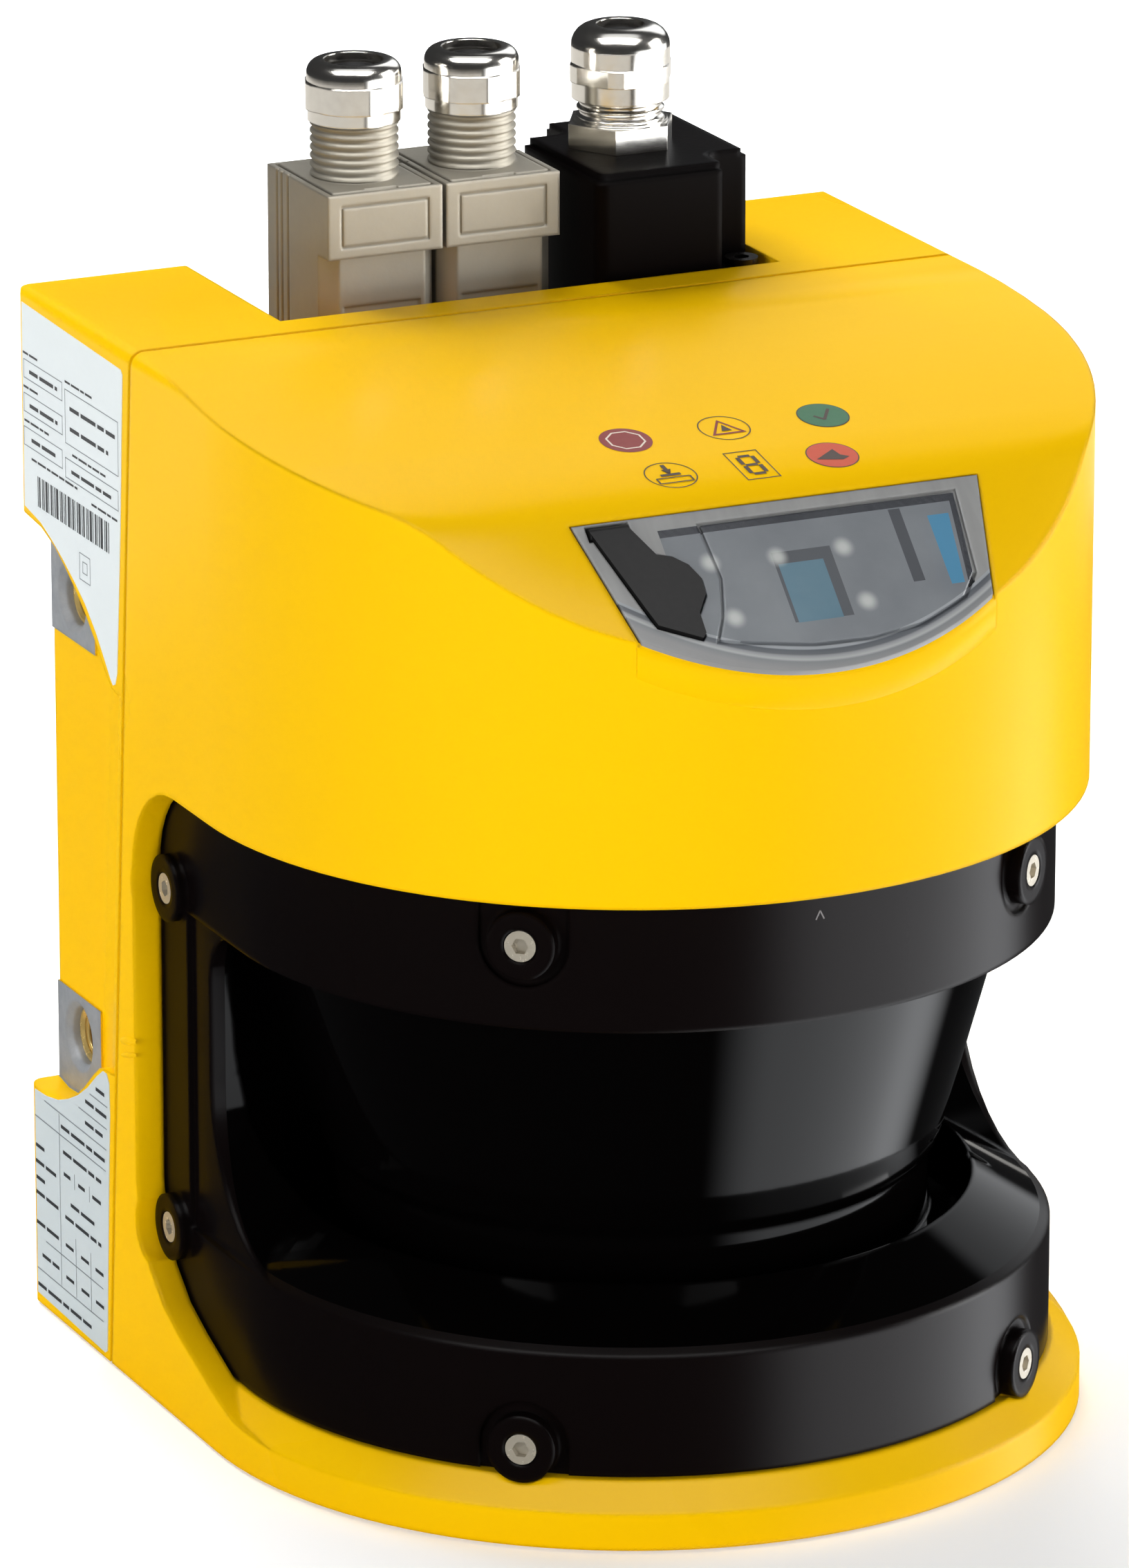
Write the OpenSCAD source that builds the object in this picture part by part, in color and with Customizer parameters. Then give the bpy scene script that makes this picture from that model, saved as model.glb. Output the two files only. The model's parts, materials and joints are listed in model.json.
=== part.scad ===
// Safety laser scanner, one sub-part per module. Units mm, front faces -Y, base on z = 0.

/* [View] */
// Piece to show

/* [Housing] */
// Overall width
width = 155; // [120:1:200]
// Rear face, from the middle of the length
rear_y = 80; // [60:1:110]
// Housing height
height = 185; // [150:1:240]
// Centre of the front arc, along Y
arc_y = -2.5; // [-10:0.5:10]
// Wall of the castings
wall = 4.5; // [3:0.5:8]
// Seam position at the top
seam_top = 29.2; // [20:0.2:40]
// Seam position at the base
seam_base = 44; // [30:0.5:55]
// Underside of the head
head_z = 111.5; // [100:0.5:130]
// Thickness of the base plate inside the rim
plate_z = 10.5; // [8:0.5:16]
// Height of the rim's upright face
rim_z = 6.3; // [3:0.1:10]
// Radius of the castings' outer edges
edge_r = 2.5; // [0.5:0.1:4]
// Depth of the side recess of the rear housing
side_recess = 6.1; // [2:0.1:9]

/* [Head] */
// Distance of the lip above the window from the front
lip_set = 23.8; // [18:0.1:32]
// Fall of the sloping top down to the lip
lip_drop = 11.95; // [8:0.05:16]
// Half length of the lip
lip_x = 37.6; // [25:0.1:50]
// Slope of the window face
face_tilt = 44.5; // [30:0.5:60]

/* [Optics cover] */
// Outer radius of the two bands
cover_r = 72; // [60:0.5:75]
// Wall of the moulding
cover_wall = 2.2; // [1.5:0.1:4]
// Top edge of the lower band
shelf_z = 32; // [24:0.5:45]
// Lower edge of the upper band
band_z = 88.5; // [75:0.5:100]
// Rear end of the cover
flange_y = 32; // [25:0.5:40]
// Upright wall behind the window cone
slot_y = 13; // [5:0.5:20]
// Foot radius of the window cone
cone_foot_r = 53; // [40:0.5:60]
// Foot height of the window cone
cone_foot_z = 47.8; // [40:0.1:60]
// Top radius of the window cone
cone_top_r = 64; // [55:0.5:70]
// Crest radius between shelf and groove
crest_r = 58; // [54:0.5:66]
// Crest height
crest_z = 40; // [34:0.5:46]
// Angle of the front screws from the middle
screw_angle = 39.5; // [20:0.5:60]
// Height of the upper front screws
screw_hi = 103.3; // [95:0.1:108]
// Height of the lower front screws
screw_lo = 15.6; // [12:0.1:24]
// Height of the upper side screws
side_hi = 91.5; // [80:0.1:100]
// Height of the lower side screws
side_lo = 30.5; // [20:0.1:40]
// Position of the side screws along Y
side_y = 25.8; // [18:0.1:28]

/* [Connector pocket] */
// Half width of the pocket
pocket_x = 46.8; // [30:0.1:60]
// Front wall of the pocket
pocket_y = 37; // [34:0.5:50]
// Floor of the pocket
pocket_z = 128; // [110:1:150]
// Top of the metal hoods
hood_z = 203; // [190:0.5:215]
// Width of a metal hood
hood_w = 21.2; // [16:0.1:30]
// Depth of a metal hood
hood_d = 26; // [18:0.5:34]
// Middle of the metal hoods along Y
hood_y = 59; // [50:0.5:66]
// Middle of the left hood
left_x = -23.3; // [-35:0.1:-15]
// Middle of the second hood
middle_x = -1.3; // [-12:0.1:8]
// Middle of the system plug gland
plug_x = 27.2; // [20:0.1:36]
// Corner distance of the system plug's screws from its sides
plug_screw_in = 3.2; // [2.8:0.1:5]

/* [Fixing holes] */
// Thread radius of the inserts
m8_r = 4; // [3:0.5:6]
// Thread depth
m8_len = 9; // [6:0.5:14]
// Outer radius of the thread inserts
insert_r = 5; // [4.5:0.1:7]
// Depth of the sunk mouth of the side threads
m8_sunk = 2.2; // [1:0.1:4]
// Height of the lower holes
m8_lo = 50.6; // [40:0.1:60]
// Height of the upper holes
m8_hi = 130.6; // [115:0.1:140]
// Distance of the side holes from the middle along Y
m8_y = 70.5; // [60:0.5:74]
// Distance of the rear holes from the middle along X
m8_x = 58; // [50:0.5:64]
// Height of the lower rear holes
m8_rear_lo = 29; // [20:1:40]
// Height of the upper rear holes
m8_rear_hi = 109; // [95:1:120]

/* [Scanner unit] */
// Height of the scan plane
scan_z = 63; // [55:0.5:72]
// Radius of the rotor shaft
shaft_r = 3; // [2:0.5:5]
// Radius of the receiver lens
lens_r = 26; // [18:0.5:32]
// Radius of the turning mirror
mirror_r = 20.5; // [14:0.5:24]

/* [Hidden] */
hw = width / 2;
seam_slope = (seam_top - seam_base) / height;
function seam(z) = seam_base + seam_slope * z;
side_x = hw - side_recess;
gap = 0.4;
$fn = 72;
seam_tilt = atan(seam_slope);
pad_rise = 0.4;
// lead chamfer of the thread inserts, and how far the rear ones lie below the face
insert_lead = 0.5;
rear_sunk = 0.5;
screw_x = cover_r - 10;
screw_z = [12, 92, height - 17];
skirt_r = cover_r - 7.4;
lip_y = arc_y - hw + lip_set;
lip_z = height - lip_drop;
board_y = rear_y - wall - 14;
plug_box = [[13.6, 39.4], [45.4, 78.6]];
plug_screws = [[plug_box[1][0] - plug_screw_in, plug_box[0][1] + plug_screw_in - 0.2],
  [plug_box[0][0] + plug_screw_in, plug_box[1][1] - plug_screw_in + 0.2]];
function arc(c, r, a0, a1, n = 8) = [for (i = [0:n]) let (a = a0 + (a1 - a0) * i / n)
  [c[0] + r * cos(a), c[1] + r * sin(a)]];
yellow = [0.98, 0.78, 0.04];
black = [0.06, 0.06, 0.07];
rubber = [0.09, 0.09, 0.09];
nickel = [0.78, 0.77, 0.74];
zinc = [0.74, 0.69, 0.6];
steel = [0.72, 0.72, 0.74];
brass = [0.78, 0.66, 0.32];
clear = [0.75, 0.78, 0.8, 0.5];
board = [0.06, 0.36, 0.2];
grey = [0.5, 0.52, 0.54];

// ---------- helpers ----------
// block from its two corners
module box(a, b) { translate(a) cube([b[0] - a[0], b[1] - a[1], b[2] - a[2]]); }

// side-view profile of [y, z] points, extruded along X between x0 and x1
module xprism(pts, x0, x1) { translate([x0, 0, 0]) rotate([90, 0, 90]) linear_extrude(x1 - x0) polygon(pts); }

// turned profile about the scan axis
module turned(pts) { translate([0, arc_y, 0]) rotate_extrude($fn = 120) polygon(pts); }

// half round in front, straight sides up to y = yb
module dprism(r, z0, z1, yb) {
  intersection() {
    translate([0, arc_y, z0]) cylinder(r = r, h = z1 - z0, $fn = 120);
    box([-r - 1, -200, z0 - 1], [r + 1, arc_y, z1 + 1]);
  }
  box([-r, arc_y, z0], [r, yb, z1]);
}

// quarter round of a profile's corner [x, y], reaching past its sides so that it only trims the corner
function corner(x, y) = let (s = sign(x), e = edge_r)
  concat([[x + 5 * s, y - e]], [for (a = [0:18:90]) [x - s * e + s * e * cos(a), y - e + e * sin(a)]],
    [[x - s * e, y + 5]]);
function reversed(p) = [for (i = [len(p) - 1:-1:0]) p[i]];
// trims the upper edges along Y of a casting of half width r and top z1
module round_top(r, z1) {
  translate([0, 120, 0]) rotate([90, 0, 0]) linear_extrude(300)
    polygon(concat([[r + 5, -10]], corner(r, z1), reversed(corner(-r, z1)), [[-r - 5, -10]]));
}
// trims the upright rear edges of a casting of half width r
module round_rear(r) {
  translate([0, 0, -10]) linear_extrude(height + 20)
    polygon(concat([[r + 5, -60]], corner(r, rear_y), reversed(corner(-r, rear_y)), [[-r - 5, -60]]));
}
// trims the upper rear edge
module round_top_rear() {
  xprism(concat([[rear_y + 5, -10]], corner(rear_y, height), [[-60, height + 5], [-60, -10]]), -100, 100);
}

// everything behind the seam, moved back by off
module behind_seam(off = 0) {
  xprism([[seam(-20) + off, -20], [seam(260) + off, 260], [200, 260], [200, -20]], -100, 100);
}
module before_seam(off = 0) {
  xprism([[seam(-20) + off, -20], [seam(260) + off, 260], [-200, 260], [-200, -20]], -100, 100);
}

// pose of a radial feature: angle from the front, height; local z points outward from the scan axis
module radial(a, z) { translate([0, arc_y, z]) rotate([0, 0, a]) rotate([90, 0, 0]) children(); }
module cover_screw_places() {
  for (a = [-screw_angle, screw_angle]) for (z = [screw_lo, screw_hi]) radial(a, z) children();
}
module side_screw_places() {
  for (s = [-1, 1]) for (z = [side_lo, side_hi]) translate([0, side_y, z]) rotate([0, s * 90, 0]) children();
}
// window face: local x across, local y up the slope, local z outward, origin on the lip
module on_face() { translate([0, lip_y, lip_z]) rotate([face_tilt, 0, 0]) children(); }
module housing_screw_bosses() {
  housing_screw_places() translate([0, 0, -40]) cylinder(r = 6, h = 18, $fn = 48);
  for (s = [-1, 1]) box([s > 0 ? screw_x : -hw + wall - 0.5, 22, screw_z[2] - 6],
    [s > 0 ? hw - wall + 0.5 : -screw_x, 40, screw_z[2] + 6]);
}
module housing_screw_places() {
  for (x = [-screw_x, screw_x]) for (z = screw_z) translate([x, 0, z]) rotate([90, 0, 0]) children();
}

// ---------- castings ----------
// outside of the head above the underside, lowered by d for the inside
module head_shape(r, d) {
  difference() {
    intersection() {
      dprism(r, head_z, height + 5, 60);
      round_top(r, height - d);
      translate([0, 0, -d]) xprism(concat([[70, height]],
        [for (t = [0:0.1:1]) [30 + t * (lip_y - 30), height - lip_drop * pow(t, 1.6)]],
        [[lip_y - 45, lip_z - 45 * tan(face_tilt)], [-130, 60], [70, 60]]), -100, 100);
    }
    for (s = [-1, 1]) for (k = [[0.06, 0.36], [0.1, 0.48], [0.14, 0.62], [0.18, 0.8], [0.22, 1.05]])
      translate([s * lip_x, lip_y, lip_z - d])
        rotate([0, acos(1 / sqrt(1 + k[0] * k[0] + k[1] * k[1])), atan2(-k[1], s * k[0])])
        translate([-150, -150, 0]) cube([300, 300, 80]);
  }
}

window_pts = [[-36.7, -1.2], [36.7, -1.2], [31.7, -23.6], [31.7, -50], [-31.7, -50], [-31.7, -23.6]];
module window_prism(o, z0, z1) {
  translate([0, 0, z0]) linear_extrude(z1 - z0)
    polygon([[-36.7 - o, -1.2 + o], [36.7 + o, -1.2 + o], [31.7 + o, -23.6], [31.7 + o, -50],
    [-31.7 - o, -50], [-31.7 - o, -23.6]]);
}

// side-view opening of the front casting
front_cut = concat([[-120, rim_z], [-22, rim_z], [-9, 7.7], [1, 10.9], [12.9, 15.2], [20, 18.4], [26, 23.4],
  [30, 30], [31.4, 38]],
  arc([13.4, head_z - 18], 18, 0, 90, 8), [[-120, head_z]]);

module sensor_head_housing() {
  color(yellow) difference() {
    union() {
      difference() {
        union() {
          head_shape(hw, 0);
          dprism(hw, 0, head_z, 60);
        }
        xprism(front_cut, -100, 100);
        dprism(cover_r + gap, plate_z, head_z, flange_y + gap);
      }
      // base plate inside the rim, with its bevel
      intersection() {
        turned([[0, 0], [hw, 0], [hw, rim_z], [cover_r + 0.6, plate_z], [0, plate_z]]);
        box([-100, -100, 0], [100, 12, 20]);
      }
      // skirts that carry the cover screws
      difference() {
        dprism(cover_r - cover_wall - gap, 93, head_z, seam(head_z));
        dprism(skirt_r, 92, head_z, 100);
      }
      difference() {
        dprism(cover_r - cover_wall - gap, plate_z, 25.5, seam(25));
        dprism(skirt_r, plate_z, 27, 100);
      }
      for (s = [-1, 1]) for (z = [[85.5, 97.5], [24.5, 36.5]])
        box([s > 0 ? screw_x : -cover_r + cover_wall + gap, 21.6, z[0]],
          [s > 0 ? cover_r - cover_wall - gap : -screw_x, 34, z[1]]);
      // bosses for the housing screws
      housing_screw_bosses();
      // motor bosses on the plate
      for (a = [45:90:315]) translate([22 * cos(a), arc_y + 22 * sin(a), plate_z - 1])
        cylinder(r = 3.2, h = 3, $fn = 32);
    }
    // head cavity, open to the rear
    difference() {
      head_shape(hw - wall, wall + 0.6);
      box([-100, -100, head_z - 1], [100, 100, head_z + wall]);
      housing_screw_bosses();
    }
    // beam well through the floor of the head
    translate([0, arc_y, head_z - 1]) cylinder(r = 56, h = wall + 2, $fn = 96);
    // opening behind the cover, between the two frames
    difference() {
      box([-55, flange_y - 12, 27], [55, 60, 92]);
      housing_screw_bosses();
    }
    // seam
    behind_seam(-gap);
    // window pocket and light well
    on_face() window_prism(0.35, -4, 30);
    on_face() translate([0, 0, -20]) linear_extrude(30)
      polygon([[-33.2, -3.9], [33.2, -3.9], [28.9, -23], [25, -26], [-25, -26], [-28.9, -23]]);
    // reliefs round the bosses of the cover
    cover_screw_places() translate([0, 0, cover_r - 1.8]) cylinder(r = 6.2, h = 11, $fn = 48);
    side_screw_places() translate([0, 0, cover_r - 1.8]) cylinder(r = 6.2, h = 11, $fn = 48);
    // threads for the cover screws
    cover_screw_places() translate([0, 0, cover_r - 12]) cylinder(r = 1.55, h = 14, $fn = 24);
    side_screw_places() translate([0, 0, cover_r - 14]) cylinder(r = 1.55, h = 16, $fn = 24);
    // threads for the housing screws
    housing_screw_places() translate([0, 0, -60]) cylinder(r = 2.05, h = 50, $fn = 24);
    // motor screw threads
    for (a = [45:90:315]) translate([22 * cos(a), arc_y + 22 * sin(a), 4]) cylinder(r = 1.3, h = 10, $fn = 24);
  }
}

// side outline of the raised label fields, [y, z]
upper_field = [[85, 190], [0, 190], [0, 123.2], [37, 123.2], [39.4, 123.6], [42.4, 126], [46, 129.6],
  [51, 134], [55, 136.8], [59.5, 139.6], [64, 142], [70, 143.9], [79, 144.8], [85, 144.8]];
lower_field = [[85, -5], [0, -5], [0, 53.6], [44.6, 53.6], [47.2, 53], [50.2, 50.8], [54.5, 47.2], [59, 44],
  [64, 41.6], [69, 40.2], [75, 39.8], [79, 40.4], [85, 41]];

// poses of the thread inserts: local z points into the casting from its outer face
module side_insert_places() {
  for (s = [-1, 1]) for (z = [m8_lo, m8_hi]) translate([s * (side_x + pad_rise), m8_y, z])
    rotate([0, -s * 90, 0]) children();
}
module rear_insert_places() {
  for (s = [-1, 1]) for (z = [m8_rear_lo, m8_rear_hi]) translate([s * m8_x, rear_y, z]) rotate([90, 0, 0])
    children();
}
module insert_seat(sunk, mouth_r) {
  translate([0, 0, -0.01]) cylinder(r1 = mouth_r, r2 = insert_r + 0.2, h = min(sunk, 1) + 0.01, $fn = 48);
  cylinder(r1 = insert_r + 0.2, r2 = insert_r + 0.1, h = sunk, $fn = 48);
  translate([0, 0, sunk]) cylinder(r1 = insert_r + 0.1, r2 = insert_r + 0.05, h = m8_len + insert_lead,
    $fn = 48);
}
module thread_insert(sunk) {
  translate([0, 0, sunk]) difference() {
    cylinder(r = insert_r, h = m8_len + insert_lead, $fn = 48);
    translate([0, 0, -1]) cylinder(r = m8_r, h = m8_len + insert_lead + 2, $fn = 48);
    translate([0, 0, -0.01]) cylinder(r1 = m8_r + insert_lead + 0.01, r2 = m8_r, h = insert_lead + 0.01,
      $fn = 48);
  }
}
module thread_inserts() {
  color(brass) {
    side_insert_places() thread_insert(m8_sunk);
    rear_insert_places() thread_insert(rear_sunk);
  }
}

module rear_housing() {
  color(yellow) difference() {
    union() {
      difference() {
        intersection() {
          box([-hw, 0, 0], [hw, rear_y, height]);
          behind_seam(gap);
          round_top(hw, height);
          round_rear(hw);
          round_top_rear();
        }
        // side recesses between the label fields
        for (s = [-1, 1]) difference() {
          translate([0, seam_base, 0]) rotate([-seam_tilt, 0, 0]) translate([0, 0, -20])
            linear_extrude(height + 60)
            polygon([[s * (hw + 1), 0], [s * (hw - 0.1), 0.8], [s * (side_x + 4.2), 6],
              [s * (side_x + 1.4), 13], [s * side_x, 20], [s * side_x, 90], [s * (hw + 1), 90]]);
          xprism(upper_field, -100, 100);
          xprism(lower_field, -100, 100);
        }
        // inner room
        difference() {
          box([-side_x + wall, -20, wall + 1], [side_x - wall, rear_y - wall, height - wall]);
          box([-pocket_x - 3.5, pocket_y - 3.5, pocket_z - 4], [pocket_x + 3.5, 100, height + 15]);
          for (s = [-1, 1]) for (z = [m8_lo, m8_hi])
            box([s > 0 ? 56 : -80, 60, z - 10], [s > 0 ? 80 : -56, 100, z + 10]);
          for (s = [-1, 1]) for (z = [m8_rear_lo, m8_rear_hi])
            box([s > 0 ? m8_x - 8 : -80, 65, z - 9], [s > 0 ? 80 : -m8_x + 8, 100, z + 9]);
          housing_screw_places() translate([0, 0, -100]) cylinder(r = 7, h = 80, $fn = 48);
        }
        // connector pocket
        box([-pocket_x, pocket_y, pocket_z], [pocket_x, 100, height + 15]);
      }
      // machined pads of the fixing holes
      for (s = [-1, 1]) {
        box([s > 0 ? side_x - 1 : -side_x - pad_rise, 60.5, m8_lo - 11.5],
          [s > 0 ? side_x + pad_rise : -side_x + 1, rear_y, m8_lo + 7.6]);
        box([s > 0 ? side_x - 1 : -side_x - pad_rise, 60.5, m8_hi - 7.8],
          [s > 0 ? side_x + pad_rise : -side_x + 1, rear_y, m8_hi + 12]);
      }
      // board posts on the rear wall
      for (x = [-42, 42]) for (z = [16, 112]) translate([x, rear_y - wall + 1, z]) rotate([90, 0, 0])
        cylinder(r = 3.5, h = 15, $fn = 32);
    }
    // tapered seats of the thread inserts, each with its chamfered mouth
    side_insert_places() insert_seat(m8_sunk, 6.3);
    rear_insert_places() insert_seat(rear_sunk, 5.6);
    // housing screws from the rear
    housing_screw_places() {
      translate([0, 0, -100]) cylinder(r = 4.2, h = 48, $fn = 36);
      translate([0, 0, -100]) cylinder(r = 2.3, h = 90, $fn = 36);
    }
    // contact openings in the pocket floor
    for (x = [left_x, middle_x]) box([x - 8, hood_y - 10, pocket_z - 5], [x + 8, hood_y + 10, pocket_z + 1]);
    box([17.5, 44, pocket_z - 5], [40.5, 74, pocket_z + 1]);
    for (p = plug_screws) translate([p[0], p[1], pocket_z - 5]) cylinder(r = 1.55, h = 6, $fn = 24);
    // board screw threads
    for (x = [-42, 42]) for (z = [16, 112]) translate([x, rear_y - wall - 4, z]) rotate([90, 0, 0])
      cylinder(r = 1.3, h = 12, $fn = 24);
  }
}

module housing_gasket() {
  color(rubber) difference() {
    intersection() {
      box([-hw + 1.2, 0, 1.2], [hw - 1.2, 60, height - 1.4]);
      behind_seam(-gap);
      before_seam(gap);
    }
    box([-side_x + wall + 2, 0, 12], [side_x - wall - 2, 60, 106]);
    box([-pocket_x - 12, 0, 100], [pocket_x + 12, 60, height - wall - 1]);
    for (s = [-1, 1]) box([s > 0 ? side_x - 0.6 : -hw, 0, 53], [s > 0 ? hw : -side_x + 0.6, 60, 124]);
    housing_screw_places() translate([0, 0, -60]) cylinder(r = 2.6, h = 60, $fn = 24);
    housing_screw_places() translate([0, 0, -60]) cylinder(r = 2.6, h = 60, $fn = 24);
  }
}

module housing_screws() {
  color(steel) housing_screw_places() {
    difference() {
      translate([0, 0, -56]) cylinder(r = 3.5, h = 4, $fn = 36);
      translate([0, 0, -56.1]) cylinder(r = 1.75, h = 2.2, $fn = 6);
    }
    translate([0, 0, -52.01]) cylinder(r = 2, h = 28, $fn = 36);
  }
}

// ---------- optics cover ----------
// side-view profile of the open slot, grown by o
function slot_pts(o) = concat([[-120, shelf_z - o]], arc([slot_y - 28, shelf_z + 28], 28 + o, -90, 0, 10),
  arc([slot_y - 10, band_z - 10], 10 + o, 0, 90, 6), [[-120, band_z + o]]);
// outer wall of the groove round the cone, grown by o
groove_top_r = cone_top_r + 0.65 * (cover_r - cone_top_r);
function groove_wall(o) = [[crest_r - 0.4 + o, 34 - o], [crest_r + o, crest_z - 0.6],
  [groove_top_r - 6.2 + o, crest_z + 5.9],
  [groove_top_r - 3.2 + o, crest_z + 12.6], [groove_top_r - 1 + o, crest_z + 25],
    [groove_top_r + o, band_z + o]];

module cover_screw_hole() {
  translate([0, 0, cover_r - 12]) cylinder(r = 1.8, h = 20, $fn = 24);
  translate([0, 0, cover_r - 0.2]) cylinder(r = 2.85, h = 6, $fn = 36);
}
module screw_boss(r_out) {
  translate([0, 0, cover_r - 1.5]) cylinder(r = 5.8, h = r_out - cover_r + 1.5, $fn = 48);
}
module boss_relief(open_up) {
  difference() {
    translate([0, 0, cover_r - 1]) {
      cylinder(r = 7.6, h = 8, $fn = 48);
      translate([-7.6, open_up > 0 ? 0 : -20, 0]) cube([15.2, 20, 8]);
    }
    translate([0, 0, cover_r - 2]) cylinder(r = 5.8, h = 12, $fn = 48);
  }
}

module optics_cover() {
  color(black) difference() {
    union() {
      difference() {
        dprism(cover_r, plate_z + 0.4, head_z - 0.4, flange_y);
        xprism(slot_pts(0), -100, 100);
        // wings set in from the bands
        for (s = [-1, 1]) box([s > 0 ? cover_r - 0.8 : -cover_r - 1, -30, shelf_z + 0.01],
          [s > 0 ? cover_r + 1 : -cover_r + 0.8, 20.5, band_z]);
        // reliefs round the front screws
        for (a = [-screw_angle, screw_angle]) {
          radial(a, screw_hi) boss_relief(1);
          radial(a, screw_lo) boss_relief(-1);
        }
      }
      // shelf falling from the crest to the lower band
      intersection() {
        turned([[40, 29], [cover_r, 29], [cover_r, shelf_z], [crest_r + 0.8, crest_z], [crest_r, crest_z],
          [50, 38], [40, 38]]);
        box([-100, -100, 0], [100, slot_y + 4, 60]);
      }
      // window cone
      intersection() {
        turned([[0, 28], [51, 28], [51, 45.2], [cone_foot_r, cone_foot_z], [cone_top_r, band_z],
          [cone_top_r, band_z + 1], [0, band_z + 1]]);
        box([-100, -100, 0], [100, flange_y, 120]);
      }
      for (a = [-screw_angle, screw_angle]) for (z = [screw_lo, screw_hi]) radial(a, z) screw_boss(cover_r + 2);
      side_screw_places() screw_boss(cover_r + 2);
    }
    // groove round the foot of the cone, opening upwards
    intersection() {
      turned(concat([[51, 34]], groove_wall(0),
        [[cone_top_r, band_z], [cone_foot_r, cone_foot_z], [51, 45.2]]));
      box([-100, -100, 0], [100, slot_y + 6, 120]);
    }
    // inside: foot band, cone, upper band
    dprism(cover_r - cover_wall, 5, 29, 60);
    turned([[0, 5], [48.8, 5], [48.8, 46], [cone_foot_r - cover_wall, cone_foot_z + 0.4],
      [cone_top_r - cover_wall, band_z], [cone_top_r - cover_wall, 98], [0, 98]]);
    dprism(cover_r - cover_wall, band_z + cover_wall, head_z + 5, 60);
    // inside: room behind the upright wall
    difference() {
      xprism(concat([[60, 28.9], [slot_y - 28, 28.9]],
        arc([slot_y - 28, shelf_z + 28], 28 + cover_wall, -90, 0, 10),
        arc([slot_y - 10, band_z - 10], 10 + cover_wall, 0, 90, 6), [[60, band_z + cover_wall]]),
        -cover_r + cover_wall, cover_r - cover_wall);
      intersection() {
        turned(concat([[0, 20], [crest_r - 0.4 + cover_wall, 20]], groove_wall(cover_wall),
          [[0, band_z + cover_wall]]));
        box([-100, -100, 0], [100, slot_y + 6 + cover_wall, 120]);
      }
    }
    // screw holes with sunk heads
    cover_screw_places() cover_screw_hole();
    side_screw_places() cover_screw_hole();
    // alignment notch on the crest and mark on the band
    translate([49.2, arc_y - 18.5, 0]) rotate([0, 0, -20]) translate([0, 0, 38.2]) linear_extrude(6)
      polygon([[6, 1.6], [10.5, 0], [6, -1.6]]);
  }
}

module optics_cover_seals() {
  color(rubber) for (z = [plate_z, head_z - 0.4]) difference() {
    dprism(cover_r - 1.6, z, z + 0.4, flange_y - 0.2);
    dprism(cover_r - cover_wall + 0.1, z - 1, z + 2, 100);
  }
}

module cover_screw() {
  difference() {
    translate([0, 0, cover_r - 0.2]) cylinder(r = 2.65, h = 2.1, $fn = 36);
    translate([0, 0, cover_r + 0.6]) cylinder(r = 1.45, h = 3, $fn = 6);
  }
  translate([0, 0, cover_r - 7.2]) cylinder(r = 1.5, h = 7.2, $fn = 24);
}
module optics_cover_screws() {
  color(steel) { cover_screw_places() cover_screw(); side_screw_places() cover_screw(); }
}

// ---------- display ----------
hinge_y = -2.95;
cap_pts = [[-34.2, hinge_y], [-27.2, hinge_y], [-24.2, -8.4], [-21.6, -9.2], [-19.3, -11], [-17.9, -13.8],
  [-18.1, -16.6], [-20.3, -19.8], [-20.4, -23.6], [-21.2, -24.5], [-28.1, -21.2], [-29, -18.6]];
// outline of the cap, grown by o away from its middle
module cap_outline(o) {
  c = [-25.4, -13.4];
  polygon([for (p = cap_pts) p + o * (p - c) / norm(p - c)]);
}

module display_window() {
  color(clear) difference() {
    intersection() {
      on_face() window_prism(0, -3.2, 0.25);
      translate([0, arc_y, 120]) cylinder(r = hw - 0.25, h = 80, $fn = 120);
    }
    on_face() {
      translate([0, 0, -10]) linear_extrude(20) cap_outline(0.4);
      translate([-34.6, hinge_y - 1.5, -10]) cube([7.8, 3, 20]);
      // step moulded round the viewing field
      difference() {
        translate([0, 0, -0.3]) linear_extrude(2)
          polygon([[-15.2, -3.4], [32, -3.2], [30.4, -19], [27, -23.4], [18, -27.2], [8, -28.6],
          [-2, -28.4], [-12, -26.8], [-19, -25.6], [-16.6, -21], [-14.6, -14]]);
        translate([0, 0, -1]) linear_extrude(4)
          polygon([[-14.6, -4], [31.3, -3.8], [29.8, -18.8], [26.6, -22.9], [17.8, -26.6], [8, -28],
          [-2, -27.8], [-11.9, -26.2], [-18.2, -25], [-16, -20.8], [-14, -14]]);
      }
    }
  }
}

module window_seal() {
  color(rubber) difference() {
    intersection() {
      on_face() window_prism(-0.2, -4, -3.2);
      translate([0, arc_y, 120]) cylinder(r = hw - 1.2, h = 80, $fn = 120);
    }
    on_face() translate([0, 0, -8]) linear_extrude(10)
      polygon([[-33.4, -3.7], [33.4, -3.7], [29.1, -23.1], [25.1, -26.2], [-25.1, -26.2], [-29.1, -23.1]]);
  }
}

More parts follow.
